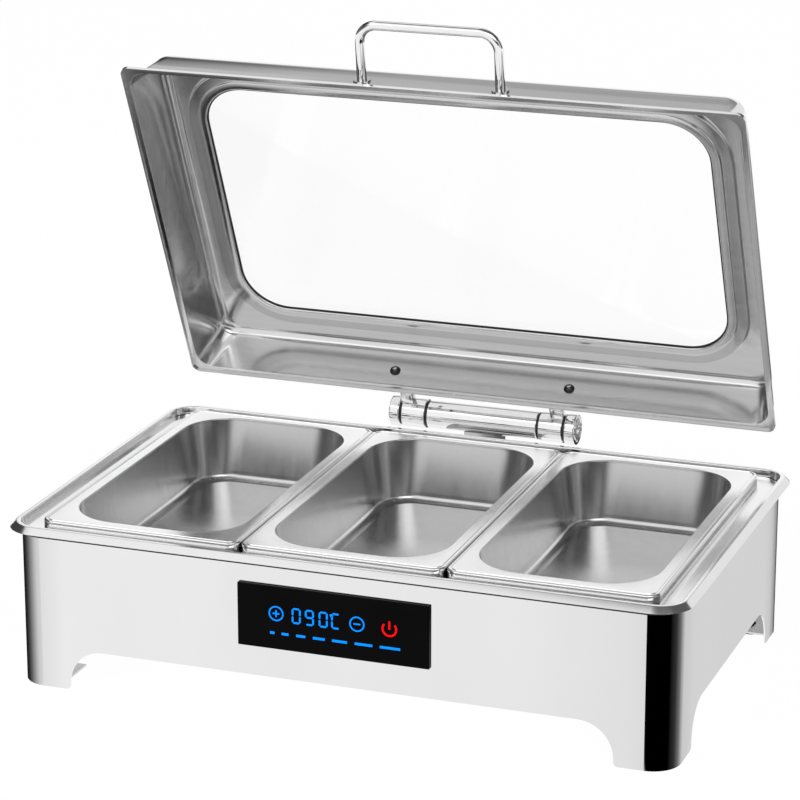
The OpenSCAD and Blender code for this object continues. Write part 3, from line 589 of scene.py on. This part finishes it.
# Size of the dark bead in the gap under the rim's skirt, a painted shadow
BEAD_OUT, BEAD_IN = 0.4, 0.3
BEAD_BELOW, BEAD_ABOVE = 2.2, 1.6
BEAD_BEVEL = 0.3
BODY_RADIUS = 24


def rim_painted_shadow_bead():
    """A dark bead along the housing's top edge, in the gap under the rim: painted shadow."""
    section = ((-BEAD_IN, -BEAD_BELOW), (BEAD_OUT, BEAD_BEVEL - BEAD_BELOW))
    section += ((BEAD_OUT, BEAD_ABOVE), (-BEAD_IN, BEAD_ABOVE))
    rings = []
    for grow, z in section:
        rings.append(centred_ring(body_high.x, body_high.y, BODY_RADIUS, grow, body_high.z + z))
    form = Form()
    form.loft(rings, closed=True)
    piece("rim_painted_shadow_bead", form, [FINISHES["black_rubber"]], "body")


# Lid

LID_Z = GUTTER_Z + 0.3
LID_HALF = (274, 171.5)
LID_HEIGHT = 52
LID_SHEET = 1
LID_TOP = LID_HEIGHT - LID_SHEET
LID_FLANGE = 6
LID_CORNER = 8
LID_RADIUS = 16
HEM = 3
HEM_BEVEL = 0.3
HEM_ROUND = 0.6
FOOT_FILLET = 0.5
SIDE_DRAFT, FRONT_DRAFT, REAR_DRAFT = 7, 9, 2.5
CROWN, FRONT_CROWN = 9, 16
CROWN_STEPS = 12
FIRST_WALL_RING = 2
LEDGE_SIDE, LEDGE_FRONT, LEDGE_REAR = 29, 32, 28
LEDGE_WIDTH = 18
LEDGE_DROP = 3.5
LEDGE_Z = LID_TOP - LEDGE_DROP
LEDGE_FILLET = 1.4
LEDGE_BACK, LEDGE_BACK_BEVEL = 1, 1
# Step from the ledge down to the band that the window's edge is hemmed with
BAND_WIDTH = 8
BAND_STEP = 1.6
STEP_REACH, STEP_STEEP, STEP_EASE = 0.8, 0.3, 0.2
WINDOW_RADIUS = 40
WINDOW_HEM = 1.5
SEAL_WIDTH, SEAL_DEPTH = 1.2, 1.4
SEAL_LAP = 0.3
SEAL_BEVEL_START = 0.7


def wall_inset(z, draft, crown, grow):
    """How far a lid wall has come in from the rim's edge at a height above the rim."""
    start = LID_TOP - crown
    if z <= start:
        return LID_FLANGE + draft * (z - HEM) / (start - HEM) - grow
    rise = min(z - start, crown + grow)
    return LID_FLANGE + draft + crown - math.sqrt(max((crown + grow) ** 2 - rise**2, 0))


def lid_ring(sides, front, rear, radius, z):
    """A ring round the lid at its own inset on each side, above the closed lid's rim."""
    half_w, half_d = LID_HALF
    return rounded(sides - half_w, half_w - sides, front - half_d, half_d - rear, radius, LID_Z + z)


def even_ring(inset, radius, z):
    return lid_ring(inset, inset, inset, radius, z)


def hem_ring(inset, z):
    return even_ring(inset, LID_CORNER - inset, z)


def wall_ring(z, grow, radius):
    sides = wall_inset(z, SIDE_DRAFT, CROWN, grow)
    front = wall_inset(z, FRONT_DRAFT, FRONT_CROWN, grow)
    rear = wall_inset(z, REAR_DRAFT, CROWN, grow)
    return lid_ring(sides, front, rear, radius, z)


def ledge_ring(inset, z):
    """A ring round the window, measured inward from the ledge's outer edge."""
    radius = WINDOW_RADIUS + LEDGE_WIDTH - inset
    return lid_ring(LEDGE_SIDE + inset, LEDGE_FRONT + inset, LEDGE_REAR + inset, radius, z)


def wall_heights(grow):
    """Heights of the rings on a lid wall, close together where it turns into the top."""
    start = LID_TOP - FRONT_CROWN
    heights = [HEM + FIRST_WALL_RING, (HEM + start) / 2, start]
    for i in range(1, CROWN_STEPS + 1):
        heights.append(start + (FRONT_CROWN + grow) * math.sin(math.radians(90 * i / CROWN_STEPS)))
    return heights


def lid_outside():
    """Rings down the outside of the lid's sheet, from the window's edge to the hem."""
    ledge_back = LEDGE_Z + LID_SHEET
    rings = [ledge_ring(LEDGE_WIDTH, ledge_back)]
    rings.append(ledge_ring(LEDGE_BACK + LEDGE_BACK_BEVEL, ledge_back))
    rings.append(ledge_ring(LEDGE_BACK, ledge_back + LEDGE_BACK_BEVEL))
    rings.append(ledge_ring(LEDGE_BACK, LID_HEIGHT))
    for z in reversed(wall_heights(LID_SHEET)):
        rings.append(wall_ring(z, LID_SHEET, LID_RADIUS + LID_SHEET))
    rings.append(even_ring(LID_FLANGE - LID_SHEET, LID_RADIUS + LID_SHEET, HEM))
    rings.append(hem_ring(HEM_ROUND, HEM))
    rings.append(hem_ring(0, HEM - HEM_ROUND))
    rings.append(hem_ring(0, HEM_BEVEL))
    return rings


def lid_shell():
    """The lid's sheet: hem, flange, walls, crown, top, sunk ledge and window edge, then back outside."""
    flange_z = HEM - LID_SHEET
    inside = [hem_ring(HEM_BEVEL, 0), hem_ring(LID_SHEET, 0), hem_ring(LID_SHEET, flange_z)]
    foot = LID_FLANGE - FOOT_FILLET, flange_z + FOOT_FILLET
    for x, z in arc(foot, FOOT_FILLET, -90, 0, EDGE_STEPS):
        inside.append(even_ring(x, LID_RADIUS, z))
    inside += [wall_ring(z, 0, LID_RADIUS) for z in wall_heights(0)]
    profile = arc((-LEDGE_FILLET, LID_TOP - LEDGE_FILLET), LEDGE_FILLET, 90, 0, EDGE_STEPS)
    strip_start = len(inside) + len(profile) - 1
    profile += arc((LEDGE_FILLET, LEDGE_Z + LEDGE_FILLET), LEDGE_FILLET, 180, 270, EDGE_STEPS)
    step = LEDGE_WIDTH - BAND_WIDTH
    band = LEDGE_Z - BAND_STEP
    profile += [(step - STEP_REACH, LEDGE_Z), (step - STEP_STEEP, LEDGE_Z - STEP_EASE)]
    strip_end = len(inside) + len(profile) - 1
    profile += [(step + STEP_STEEP, band + STEP_EASE), (step + STEP_REACH, band)]
    profile += arc((LEDGE_WIDTH - WINDOW_HEM, band + WINDOW_HEM), WINDOW_HEM, 270, 360, EDGE_STEPS)
    inside += [ledge_ring(inset, z) for inset, z in profile]
    form = Form()
    form.loft(inside[: strip_start + 1], 0, pose=LID_POSE)
    # The ledge strip takes the darker copy of the lid's steel: painted shade along the step
    form.loft(inside[strip_start : strip_end + 1], 2, pose=LID_POSE)
    form.loft(inside[strip_end:], 0, pose=LID_POSE)
    form.loft([inside[-1]] + lid_outside() + [inside[0]], 1, pose=LID_POSE)
    finishes = [FINISHES["lid_steel"], LID_OUTSIDE, WINDOW_STRIP_PAINTED_SHADE]
    piece("pressed_lid", form, finishes, "lid", ["lid_shell"])


def window_seal():
    """The seal's lip, which shows round the window's edge."""
    top = LEDGE_Z + LID_SHEET
    lap, tip = LEDGE_WIDTH - SEAL_LAP, LEDGE_WIDTH + SEAL_WIDTH
    section = [(lap, top), (lap, top - SEAL_DEPTH)]
    section.append((LEDGE_WIDTH + SEAL_WIDTH * SEAL_BEVEL_START, top - SEAL_DEPTH))
    section.append((tip, top - SEAL_DEPTH * SEAL_BEVEL_START))
    section.append((tip, top))
    form = Form()
    form.loft([ledge_ring(inset, z) for inset, z in section], closed=True, pose=LID_POSE)
    piece("window_seal_lip", form, [FINISHES["black_rubber"]], "lid")


def on_rear_wall(x, up):
    """Matrix of a place on the outside of the closed lid's rear wall, with y pointing out of it."""
    inset = wall_inset(up, REAR_DRAFT, CROWN, LID_SHEET)
    lean = math.atan(REAR_DRAFT / (LID_TOP - CROWN - HEM))
    place = Matrix.Translation((x, LID_HALF[1] - inset, LID_Z + up))
    return LID_POSE @ place @ Matrix.Rotation(lean, 4, "X")


def on_front_wall(x, up):
    """Matrix of a place on the outside of the closed lid's front wall, with y pointing out of it."""
    inset = wall_inset(up, FRONT_DRAFT, FRONT_CROWN, LID_SHEET)
    lean = math.atan(FRONT_DRAFT / (LID_TOP - FRONT_CROWN - HEM))
    place = Matrix.Translation((x, inset - LID_HALF[1], LID_Z + up))
    return LID_POSE @ place @ Matrix.Rotation(-lean, 4, "X") @ Matrix.Diagonal((1, -1, 1, 1))


# Hinge

SLEEVE_GAP = 0.5
SLEEVE_LENGTH = 23.5
SLEEVE_RADIUS = 13.5
SLEEVE_START = barrel_high.x + SLEEVE_GAP
HINGE_EDGE = 0.7
WASHER_WIDTH = 2.2
WASHER_DEPTH = 0.9
WASHER_EDGE = 0.2
CAP_RADIUS = 14.2
CAP_LENGTH = 10.5
CAP_EDGE = 1.4
# Ring turned into a cap's face: how far in from the cap's radius it starts, deepens, rises and ends
CAP_RING = (3, 3.5, 4.5, 5)
CAP_RING_DEPTH = 0.8
SOCKET_MOUTH, SOCKET_RADIUS, SOCKET_MIDDLE = 4.5, 4.2, 1
SOCKET_DEPTH = 2
ARM_WIDTH = 12
ARM_THICK = 8
ARM_BELOW = 4.2
ARM_TUCK = 1
ARM_EDGE = 1.2
ARM_UP = 21
ARM_PAD = (40, 4, 22)
ARM_PAD_GAP = 0.05


def cap_face(face):
    """Profile of the ring and the socket turned into a cap's end face."""
    start, deep, rise, end = (CAP_RADIUS - inset for inset in CAP_RING)
    ring_floor = face - CAP_RING_DEPTH
    socket_floor = face - SOCKET_DEPTH
    ring = [(face, start), (ring_floor, deep), (ring_floor, rise), (face, end)]
    socket = [(face, SOCKET_MOUTH), (socket_floor, SOCKET_RADIUS), (socket_floor, SOCKET_MIDDLE)]
    return ring + socket


def arm_form(form, side):
    """The arm from a sleeve to its pad on the lid's rear wall."""
    x1 = SLEEVE_START + SLEEVE_LENGTH
    x0 = x1 - ARM_WIDTH
    low = (min(side * x0, side * x1), LID_HALF[1] - LID_FLANGE + ARM_TUCK, hinge.z - ARM_BELOW)
    high = (max(side * x0, side * x1), hinge.y, hinge.z - ARM_BELOW + ARM_THICK)
    block(form, low, high, ARM_EDGE, LID_POSE)
    pad_w, pad_t, pad_h = ARM_PAD
    pad_low, pad_high = (-pad_w / 2, ARM_PAD_GAP, -pad_h / 2), (pad_w / 2, pad_t, pad_h / 2)
    block(form, pad_low, pad_high, ARM_EDGE, on_rear_wall(side * (SLEEVE_START + pad_w / 2), ARM_UP))


def hinge_row():
    """The barrel on the body, and the sleeves, arms, caps and washers on the lid."""
    at_axis = Matrix.Translation((0, hinge.y, hinge.z))
    half = barrel_high.x
    radius = (barrel_high.z - barrel_low.z) / 2
    trim = (WASHER_WIDTH - SLEEVE_GAP) / 2
    form = Form()
    form.bar(turned(soften(trim - half, half - trim, radius, HINGE_EDGE)), at_axis)
    piece("turned_barrel", form, [FINISHES["chrome"]], "body", ["hinge_barrel"])
    sleeve_end = SLEEVE_START + SLEEVE_LENGTH
    cap_start = sleeve_end + SLEEVE_GAP
    cap_end = cap_start + CAP_LENGTH
    caps, washers = Form(), Form()
    for side, name in ((-1, "left"), (1, "right")):
        mirrored = at_axis @ Matrix.Diagonal((side, 1, 1, 1))
        form = Form()
        form.bar(turned(soften(SLEEVE_START + trim, sleeve_end - trim, SLEEVE_RADIUS, HINGE_EDGE)), mirrored)
        arm_form(form, side)
        piece(f"hinge_arm_cast_{name}", form, [FINISHES["chrome"]], "lid", [f"hinge_arm_{name}"])
        cap = soften(cap_start + trim, cap_end, CAP_RADIUS, CAP_EDGE)
        caps.bar(turned(cap + cap_face(cap_end)), mirrored)
        for place in (half, sleeve_end):
            ring = soften(place - trim, place + SLEEVE_GAP + trim, radius - WASHER_DEPTH, WASHER_EDGE)
            washers.bar(turned(ring), mirrored)
    piece("turned_caps", caps, [FINISHES["chrome"]], "lid", ["hinge_caps"])
    piece("hinge_washers", washers, [FINISHES["black_plastic"]], "lid")


# Screws with domed heads

DOME_RADIUS = 5.0
DOME_HEIGHT = 4.0
DOME_STEPS = 18
DOME_SIDES = 64
# The first ring lies this share of a step from the dome's middle
DOME_START = 0.2
SHANK_RADIUS = 2.4
CROSS_REACH = 2.4
CROSS_WIDTH = 1.1
CROSS_DEPTH = 1.0
# Rings in the middle of a head that are chrome: a painted glint
PAINTED_GLINT_RINGS = 6
ARM_SCREW_OUT = 29
ARM_SHANK = 6
HANDLE_SPAN = 122
HANDLE_UP = 20
HANDLE_SHANK = 9


def dome_height(across, along):
    """Height of a domed head over a place on it, with a cross pressed into its middle."""
    ball = (DOME_RADIUS**2 + DOME_HEIGHT**2) / (2 * DOME_HEIGHT)
    out = math.hypot(across, along)
    height = math.sqrt(ball**2 - out**2) - ball + DOME_HEIGHT
    in_cross = min(abs(across), abs(along)) < CROSS_WIDTH / 2 and out < CROSS_REACH
    return height - CROSS_DEPTH if in_cross else height


def dome_screws(name, node, places, shank):
    """Screws whose domed heads lie inside the lid: dark steel, with a chrome middle round the cross that is a
    painted glint.
    """
    form = Form()
    for place in places:
        inward = place @ Matrix.Translation((0, -LID_SHEET, 0)) @ Matrix.Rotation(math.radians(-90), 4, "Z")
        step = DOME_RADIUS / (DOME_STEPS + DOME_START)
        head = turned([(0, step * (i + DOME_START)) for i in range(DOME_STEPS + 1)], DOME_SIDES)
        rings = [[(dome_height(y, z), y, z) for x, y, z in ring] for ring in head]
        rings += turned([(0, SHANK_RADIUS), (-shank, SHANK_RADIUS)], DOME_SIDES)
        # The head's middle round the cross is chrome: a painted glint
        form.loft(rings[: PAINTED_GLINT_RINGS + 1], 1, first_cap=True, pose=inward)
        form.loft(rings[PAINTED_GLINT_RINGS:], last_cap=True, pose=inward)
    piece(name, form, [FINISHES["dark_steel"], FINISHES["chrome"]], "lid", [node])


def screws():
    out = SLEEVE_START + ARM_SCREW_OUT
    places = [on_rear_wall(side * out, ARM_UP) for side in (-1, 1)]
    dome_screws("domed_arm_screws", "arm_screws", places, ARM_SHANK)
    places = [on_front_wall(side * HANDLE_SPAN / 2, HANDLE_UP) for side in (-1, 1)]
    dome_screws("domed_handle_screws", "handle_screws", places, HANDLE_SHANK)


# Control panel, with its signs placed from the panel's middle

PANEL_BEVEL = 0.8
SIGN_PROUD = 0.15
SIGN_RADIUS = 5.9
SIGN_LINE = 1.2
SIGN_ROW = 4.0
HOOP_STEPS = 40
PLUS_X, MINUS_X = -48.6, 21.1
DIGIT_SIZE = (6.3, 12.1)
DIGIT_LINE = 1.5
SEGMENT_GAP = 0.25
# Place along the row and lit segments of each digit
DIGITS = ((-31.1, "abcdef"), (-19.7, "abcdfg"), (-7.8, "abcdef"), (2.9, "adef"))
# Place and radius of the degree ring
DEGREE = (-0.9, 8.6, 0.8)
DEGREE_LINE = 0.8
DEGREE_STEPS = 16
DASH_ROW = -12.9
DASH_HEIGHT = 2.1
# Place along the row and length of each dash
DASHES = (
    (-52.1, 3.9), (-41.0, 5.9), (-27.4, 8.0), (-11.7, 10.2), (6.1, 12.9), (26.7, 15.1), (49.3, 17.3),
)
# Place and radius of the power sign's ring
POWER_SIGN = (48.8, 3.3, 5.8)
POWER_LINE = 1.6
# Angle at which the ring starts, and how far round it runs
POWER_START, POWER_SWEEP = 140, 260
# Place and length of the power sign's stroke, in shares of its radius
POWER_STROKE_UP, POWER_STROKE_LENGTH = 0.55, 1.2


def bar(form, place, x, y, width, height):
    """A lit bar about a centre on the panel."""
    w, h = width / 2, height / 2
    form.prism([(x - w, y - h), (x + w, y - h), (x + w, y + h), (x - w, y + h)], SIGN_PROUD, place)


def hoop(form, place, x, y, radius, line, start=0, sweep=360, steps=HOOP_STEPS):
    """A lit ring, or part of one."""
    inner, outer = radius - line / 2, radius + line / 2
    for i in range(steps):
        a = math.radians(start + sweep * i / steps)
        b = math.radians(start + sweep * (i + 1) / steps)
        outline = []
        for r, turn in ((inner, a), (outer, a), (outer, b), (inner, b)):
            outline.append((x + r * math.cos(turn), y + r * math.sin(turn)))
        form.prism(outline, SIGN_PROUD, place)


def segment(form, place, letter, x, y):
    """One segment of a seven-segment sign, pointed at both ends."""
    w, h = DIGIT_SIZE[0] / 2, DIGIT_SIZE[1] / 2
    t, gap = DIGIT_LINE / 2, SEGMENT_GAP
    across = {"a": h, "g": 0, "d": -h}
    upright = {"f": (-w, 1), "b": (w, 1), "e": (-w, -1), "c": (w, -1)}
    if letter in across:
        y += across[letter]
        a, b = x - w + gap, x + w - gap
        outline = [(a, y), (a + t, y - t), (b - t, y - t), (b, y), (b - t, y + t), (a + t, y + t)]
    else:
        x += upright[letter][0]
        a, b = sorted((y, y + upright[letter][1] * h))
        a, b = a + gap, b - gap
        outline = [(x, a), (x + t, a + t), (x + t, b - t), (x, b), (x - t, b - t), (x - t, a + t)]
    form.prism(outline, SIGN_PROUD, place)


def blue_signs(form, place):
    for x in (PLUS_X, MINUS_X):
        hoop(form, place, x, SIGN_ROW, SIGN_RADIUS, SIGN_LINE)
        bar(form, place, x, SIGN_ROW, SIGN_RADIUS, SIGN_LINE)
    bar(form, place, PLUS_X, SIGN_ROW, SIGN_LINE, SIGN_RADIUS)
    for x, letters in DIGITS:
        for letter in letters:
            segment(form, place, letter, x, SIGN_ROW)
    hoop(form, place, *DEGREE, DEGREE_LINE, steps=DEGREE_STEPS)
    for x, length in DASHES:
        bar(form, place, x, DASH_ROW, length, DASH_HEIGHT)


def power_sign(form, place):
    x, y, radius = POWER_SIGN
    hoop(form, place, x, y, radius, POWER_LINE, POWER_START, POWER_SWEEP)
    bar(form, place, x, y + radius * POWER_STROKE_UP, POWER_LINE, radius * POWER_STROKE_LENGTH)


def control_panel():
    """The black glass with its ground edges, and the lit signs on it."""
    form = Form()
    block(form, panel_low, panel_high, PANEL_BEVEL)
    finishes = [FINISHES["panel_glass"]]
    piece("ground_panel_glass", form, finishes, "body", ["control_panel_glass"])
    centre = (panel_low + panel_high) / 2
    upright = Matrix.Rotation(math.radians(90), 4, "X")
    place = Matrix.Translation((centre.x, panel_low.y, centre.z)) @ upright
    blue = Form()
    red = Form()
    blue_signs(blue, place)
    power_sign(red, place)
    piece("panel_signs_blue", blue, [BLUE_SIGN], "body")
    piece("panel_sign_red", red, [RED_SIGN], "body")


# Studio: places and sizes of the camera, the lamp and the floor are in metres

CAMERA_YAW = 19.916
CAMERA_PITCH = 17.306
CAMERA_PLACE = (0.9053, -2.5173, 1.0611)
CAMERA_LENS = 150.34
CAMERA_SENSOR = 36
CAMERA_CLIP = 60
KEY_PLACE = (1.5, -1.7, 2.1)
KEY_TARGET = (0, 0, 0.2)
KEY_SIZE = (2.0, 2.0)
KEY_POWER = 13
FLOOR_HALF = 14
FLOOR_GLOW = 0.94
FLOOR_COLOUR = 0.12


def white_floor():
    """A pale floor that reads white to the camera and in reflections, and keeps a soft shadow."""
    material, tree, shader = node_material("floor")
    shader.inputs["Base Color"].default_value = (FLOOR_COLOUR, FLOOR_COLOUR, FLOOR_COLOUR, 1)
    shader.inputs["Roughness"].default_value = 0.9
    shader.inputs["Specular IOR Level"].default_value = 0.0
    shader.inputs["Emission Color"].default_value = (1, 1, 1, 1)
    path = tree.nodes.new("ShaderNodeLightPath")
    total = path.outputs["Is Camera Ray"]
    for name in ("Is Glossy Ray", "Is Transmission Ray"):
        either = tree.nodes.new("ShaderNodeMath")
        either.operation = "MAXIMUM"
        tree.links.new(total, either.inputs[0])
        tree.links.new(path.outputs[name], either.inputs[1])
        total = either.outputs["Value"]
    level = tree.nodes.new("ShaderNodeMath")
    level.operation = "MULTIPLY"
    level.inputs[1].default_value = FLOOR_GLOW
    tree.links.new(total, level.inputs[0])
    tree.links.new(level.outputs["Value"], shader.inputs["Emission Strength"])
    corners = [(x * FLOOR_HALF, y * FLOOR_HALF, 0) for x, y in ((-1, -1), (1, -1), (1, 1), (-1, 1))]
    mesh = bpy.data.meshes.new("floor")
    mesh.from_pydata(corners, [], [[0, 1, 2, 3]])
    mesh.materials.append(material)
    floor = bpy.data.objects.new("floor", mesh)
    bpy.context.scene.collection.objects.link(floor)


# Shaded cards on the floor, which only reflections show

CARD_REACH = 440
CARD_END = 640
CARD_CORNER = 24
CARD_LIFT = 0.5
# Brightness of the floor card before each corner, by the direction that the wall faces there: 0 is the
# front, 90 the right side
LEFT_SHADES = (
    (-66, 0.5), (-62, 0.0), (-54, 0.0), (-39, 0.035), (-30, 0.12), (-20, 0.33), (-10, 0.62), (0, 0.84),
)
RIGHT_SHADES = (
    (0, 0.8), (1.5, 0.36), (4, 0.0), (46, 0.0), (61, 0.035), (73, 0.17), (82, 0.42), (90, 0.62),
)
REAR_SHADES = ((90, 0.08), (100, 0.02), (112, 0.0))
# Brightness before the flat walls, by the place along them
FRONT_SHADES = ((-240, 0.94), (160, 0.9), (245, 0.84))
SIDE_SHADES = ((-120, 0.7), (115, 0.7), (135, 0.62), (150, 0.28))
# Sides of the rear card, and its brightness by the distance behind the dish's middle
REAR_CARD_SIDES = (40, 900)
REAR_CARD_LIFT = 0.3
REAR_CARD_SHADES = ((600, 0.9), (820, 0.1), (1300, 0.24), (2100, 0.28), (2400, 0.9))


def card_material():
    """A material that glows as bright as the mesh's shade."""
    material, tree, shader = node_material("floor_card")
    shader.inputs["Base Color"].default_value = (0, 0, 0, 1)
    shader.inputs["Specular IOR Level"].default_value = 0.0
    shader.inputs["Emission Strength"].default_value = 1.0
    shade = tree.nodes.new("ShaderNodeVertexColor")
    shade.layer_name = "shade"
    tree.links.new(shade.outputs["Color"], shader.inputs["Emission Color"])
    return material


CARD = card_material()


def lay_card(name, points, faces, shades):
    """Lays a card with a brightness at each point, seen by reflections only."""
    mesh = bpy.data.meshes.new(name)
    mesh.from_pydata([tuple(Vector(point) * MM) for point in points], [], faces)
    shade = mesh.color_attributes.new("shade", "FLOAT_COLOR", "POINT")
    for k, level in enumerate(shades):
        shade.data[k].color = (level, level, level, 1)
    mesh.materials.append(CARD)
    card = bpy.data.objects.new(name, mesh)
    bpy.context.scene.collection.objects.link(card)
    card.visible_camera = False
    card.visible_diffuse = False
    card.visible_transmission = False
    card.visible_shadow = False


def level_at(shades, place):
    """Brightness between the two nearest places of a row of shades."""
    for (a, low), (b, high) in zip(shades, shades[1:]):
        if a <= place <= b:
            return low + (high - low) * (place - a) / (b - a)
    return shades[-1][1]


def round_corner(x, y, shades, step):
    """Card places round a corner of the housing, over the directions of its shades."""
    first, last = shades[0][0], shades[-1][0]
    places = []
    for i in range(round((last - first) / step) + 1):
        facing = first + i * step
        places.append((x, y, facing, level_at(shades, facing)))
    return places


def card_starts():
    """Places along the foot of the front and the right wall: x, y, facing and brightness."""
    x, y = body_high.x - CARD_CORNER, body_high.y - CARD_CORNER
    starts = round_corner(-x, -y, LEFT_SHADES, 1)
    starts += [(along, -y, 0, level) for along, level in FRONT_SHADES]
    starts += round_corner(x, -y, RIGHT_SHADES, 0.5)
    starts += [(x, along, 90, level) for along, level in SIDE_SHADES]
    starts += round_corner(x, y, REAR_SHADES, 1)
    return starts


def floor_card():
    """The card round the front and the right side, laid along the camera's view as the walls mirror it."""
    eye_x, eye_y = CAMERA_PLACE[0] / MM, CAMERA_PLACE[1] / MM
    starts = card_starts()
    points, shades, faces = [], [], []
    for reach in (0, CARD_REACH, CARD_END):
        for cx, cy, facing, level in starts:
            out = math.radians(facing)
            px, py = cx + CARD_CORNER * math.sin(out), cy - CARD_CORNER * math.cos(out)
            away = 2 * out - math.atan2(eye_x - px, py - eye_y)
            points.append((px + reach * math.sin(away), py - reach * math.cos(away), CARD_LIFT))
            shades.append(FLOOR_GLOW if reach == CARD_END else level)
    count = len(starts)
    for k in range(2 * count - 1):
        if k % count < count - 1:
            faces.append([k, k + 1, count + k + 1, count + k])
    lay_card("floor_card", points, faces, shades)


def rear_card():
    """The dark card behind the dish, pale at its near and its far end."""
    x0, x1 = REAR_CARD_SIDES
    points, shades = [], []
    for y, level in REAR_CARD_SHADES:
        points += [(x0, y, REAR_CARD_LIFT), (x1, y, REAR_CARD_LIFT)]
        shades += [level, level]
    faces = [[2 * k, 2 * k + 1, 2 * k + 3, 2 * k + 2] for k in range(len(REAR_CARD_SHADES) - 1)]
    lay_card("rear_card", points, faces, shades)


# Brightness of the studio by direction, in bands from the foot of its walls to its ceiling: 0 is the front,
# 90 the right side, 180 the rear
WALLS = (
    (-90, 0.35), (-78, 0.08), (-46, 0.1), (-34, 1.0), (10, 1.0), (24, 0.1), (62, 0.06), (72, 0.7), (90, 0.7),
    (100, 0.08), (128, 0.08), (140, 0.85), (172, 0.85), (186, 1.0), (206, 1.0), (213, 0.05), (262, 0.05),
    (268, 0.35),
)
MIDDLE_WALLS = (
    (-90, 0.05), (-64, 0.1), (-54, 1.0), (62, 1.0), (76, 0.1), (150, 0.1), (180, 0.45), (206, 0.5),
    (214, 0.05), (268, 0.05),
)
UPPER_WALLS = (
    (-90, 0.05), (-64, 0.1), (-52, 1.6), (40, 1.6), (56, 0.1), (76, 0.1), (150, 0.1), (180, 0.35),
    (206, 0.4), (214, 0.05), (268, 0.05),
)
CEILING = (
    (-90, 0.6), (-60, 0.95), (-20, 0.95), (20, 0.4), (50, 0.1), (140, 0.1), (180, 0.5), (210, 0.9),
    (240, 0.9), (268, 0.6),
)
ZENITH = ((-90, 0.12), (268, 0.12))
# Sine of the height at which each band goes over to the next
BANDS = ((MIDDLE_WALLS, 0.41, 0.47), (UPPER_WALLS, 0.56, 0.6), (CEILING, 0.69, 0.75), (ZENITH, 0.91, 0.94))


def world_light():
    """A studio with pale and dark walls, a ceiling and a dark zenith."""
    world = bpy.data.worlds.new("studio")
    world.use_nodes = True
    tree = world.node_tree
    background = tree.nodes["Background"]
    place = tree.nodes.new("ShaderNodeTexCoord")
    axes = tree.nodes.new("ShaderNodeSeparateXYZ")
    turn = tree.nodes.new("ShaderNodeTexGradient")
    turn.gradient_type = "RADIAL"
    tree.links.new(place.outputs["Generated"], turn.inputs["Vector"])
    tree.links.new(place.outputs["Generated"], axes.inputs["Vector"])

    def by_direction(levels):
        ramp = tree.nodes.new("ShaderNodeValToRGB")
        stops = ramp.color_ramp.elements
        while len(stops) < len(levels):
            stops.new(0.5)
        for stop, (direction, level) in zip(stops, levels):
            stop.position = (direction - levels[0][0]) / 360
            stop.color = (level, level, level, 1)
        tree.links.new(turn.outputs["Fac"], ramp.inputs["Fac"])
        return ramp.outputs["Color"]

    colour = by_direction(WALLS)
    for above, foot, top in BANDS:
        height = tree.nodes.new("ShaderNodeMapRange")
        height.interpolation_type = "SMOOTHSTEP"
        height.inputs["From Min"].default_value = foot
        height.inputs["From Max"].default_value = top
        blend = tree.nodes.new("ShaderNodeMix")
        blend.data_type = "RGBA"
        tree.links.new(axes.outputs["Z"], height.inputs["Value"])
        tree.links.new(height.outputs["Result"], blend.inputs["Factor"])
        tree.links.new(colour, blend.inputs["A"])
        tree.links.new(by_direction(above), blend.inputs["B"])
        colour = blend.outputs["Result"]
    tree.links.new(colour, background.inputs["Color"])
    background.inputs["Strength"].default_value = 1.0
    bpy.context.scene.world = world


def softbox(name, place, target, size, power):
    """A large soft lamp aimed at a point."""
    lamp = bpy.data.lights.new(name, "AREA")
    lamp.shape = "RECTANGLE"
    lamp.size, lamp.size_y = size
    lamp.energy = power
    thing = bpy.data.objects.new(name, lamp)
    thing.location = place
    thing.rotation_mode = "QUATERNION"
    thing.rotation_quaternion = (Vector(target) - Vector(place)).to_track_quat("-Z", "Y")
    bpy.context.scene.collection.objects.link(thing)


def camera():
    """The photograph's view: turned to the left and tilted down, with the picture level."""
    data = bpy.data.cameras.new("camera")
    data.lens = CAMERA_LENS
    data.sensor_width = CAMERA_SENSOR
    data.clip_end = CAMERA_CLIP
    thing = bpy.data.objects.new("camera", data)
    thing.location = CAMERA_PLACE
    thing.rotation_euler = (math.radians(90 - CAMERA_PITCH), 0, math.radians(CAMERA_YAW))
    bpy.context.scene.collection.objects.link(thing)
    bpy.context.scene.camera = thing


dress_solids()
food_pans()
water_pan()
rim_painted_shadow_bead()
lid_shell()
window_seal()
hinge_row()
screws()
control_panel()
white_floor()
floor_card()
rear_card()
world_light()
softbox("key", KEY_PLACE, KEY_TARGET, KEY_SIZE, KEY_POWER)
camera()
bpy.context.scene.view_settings.view_transform = "Standard"
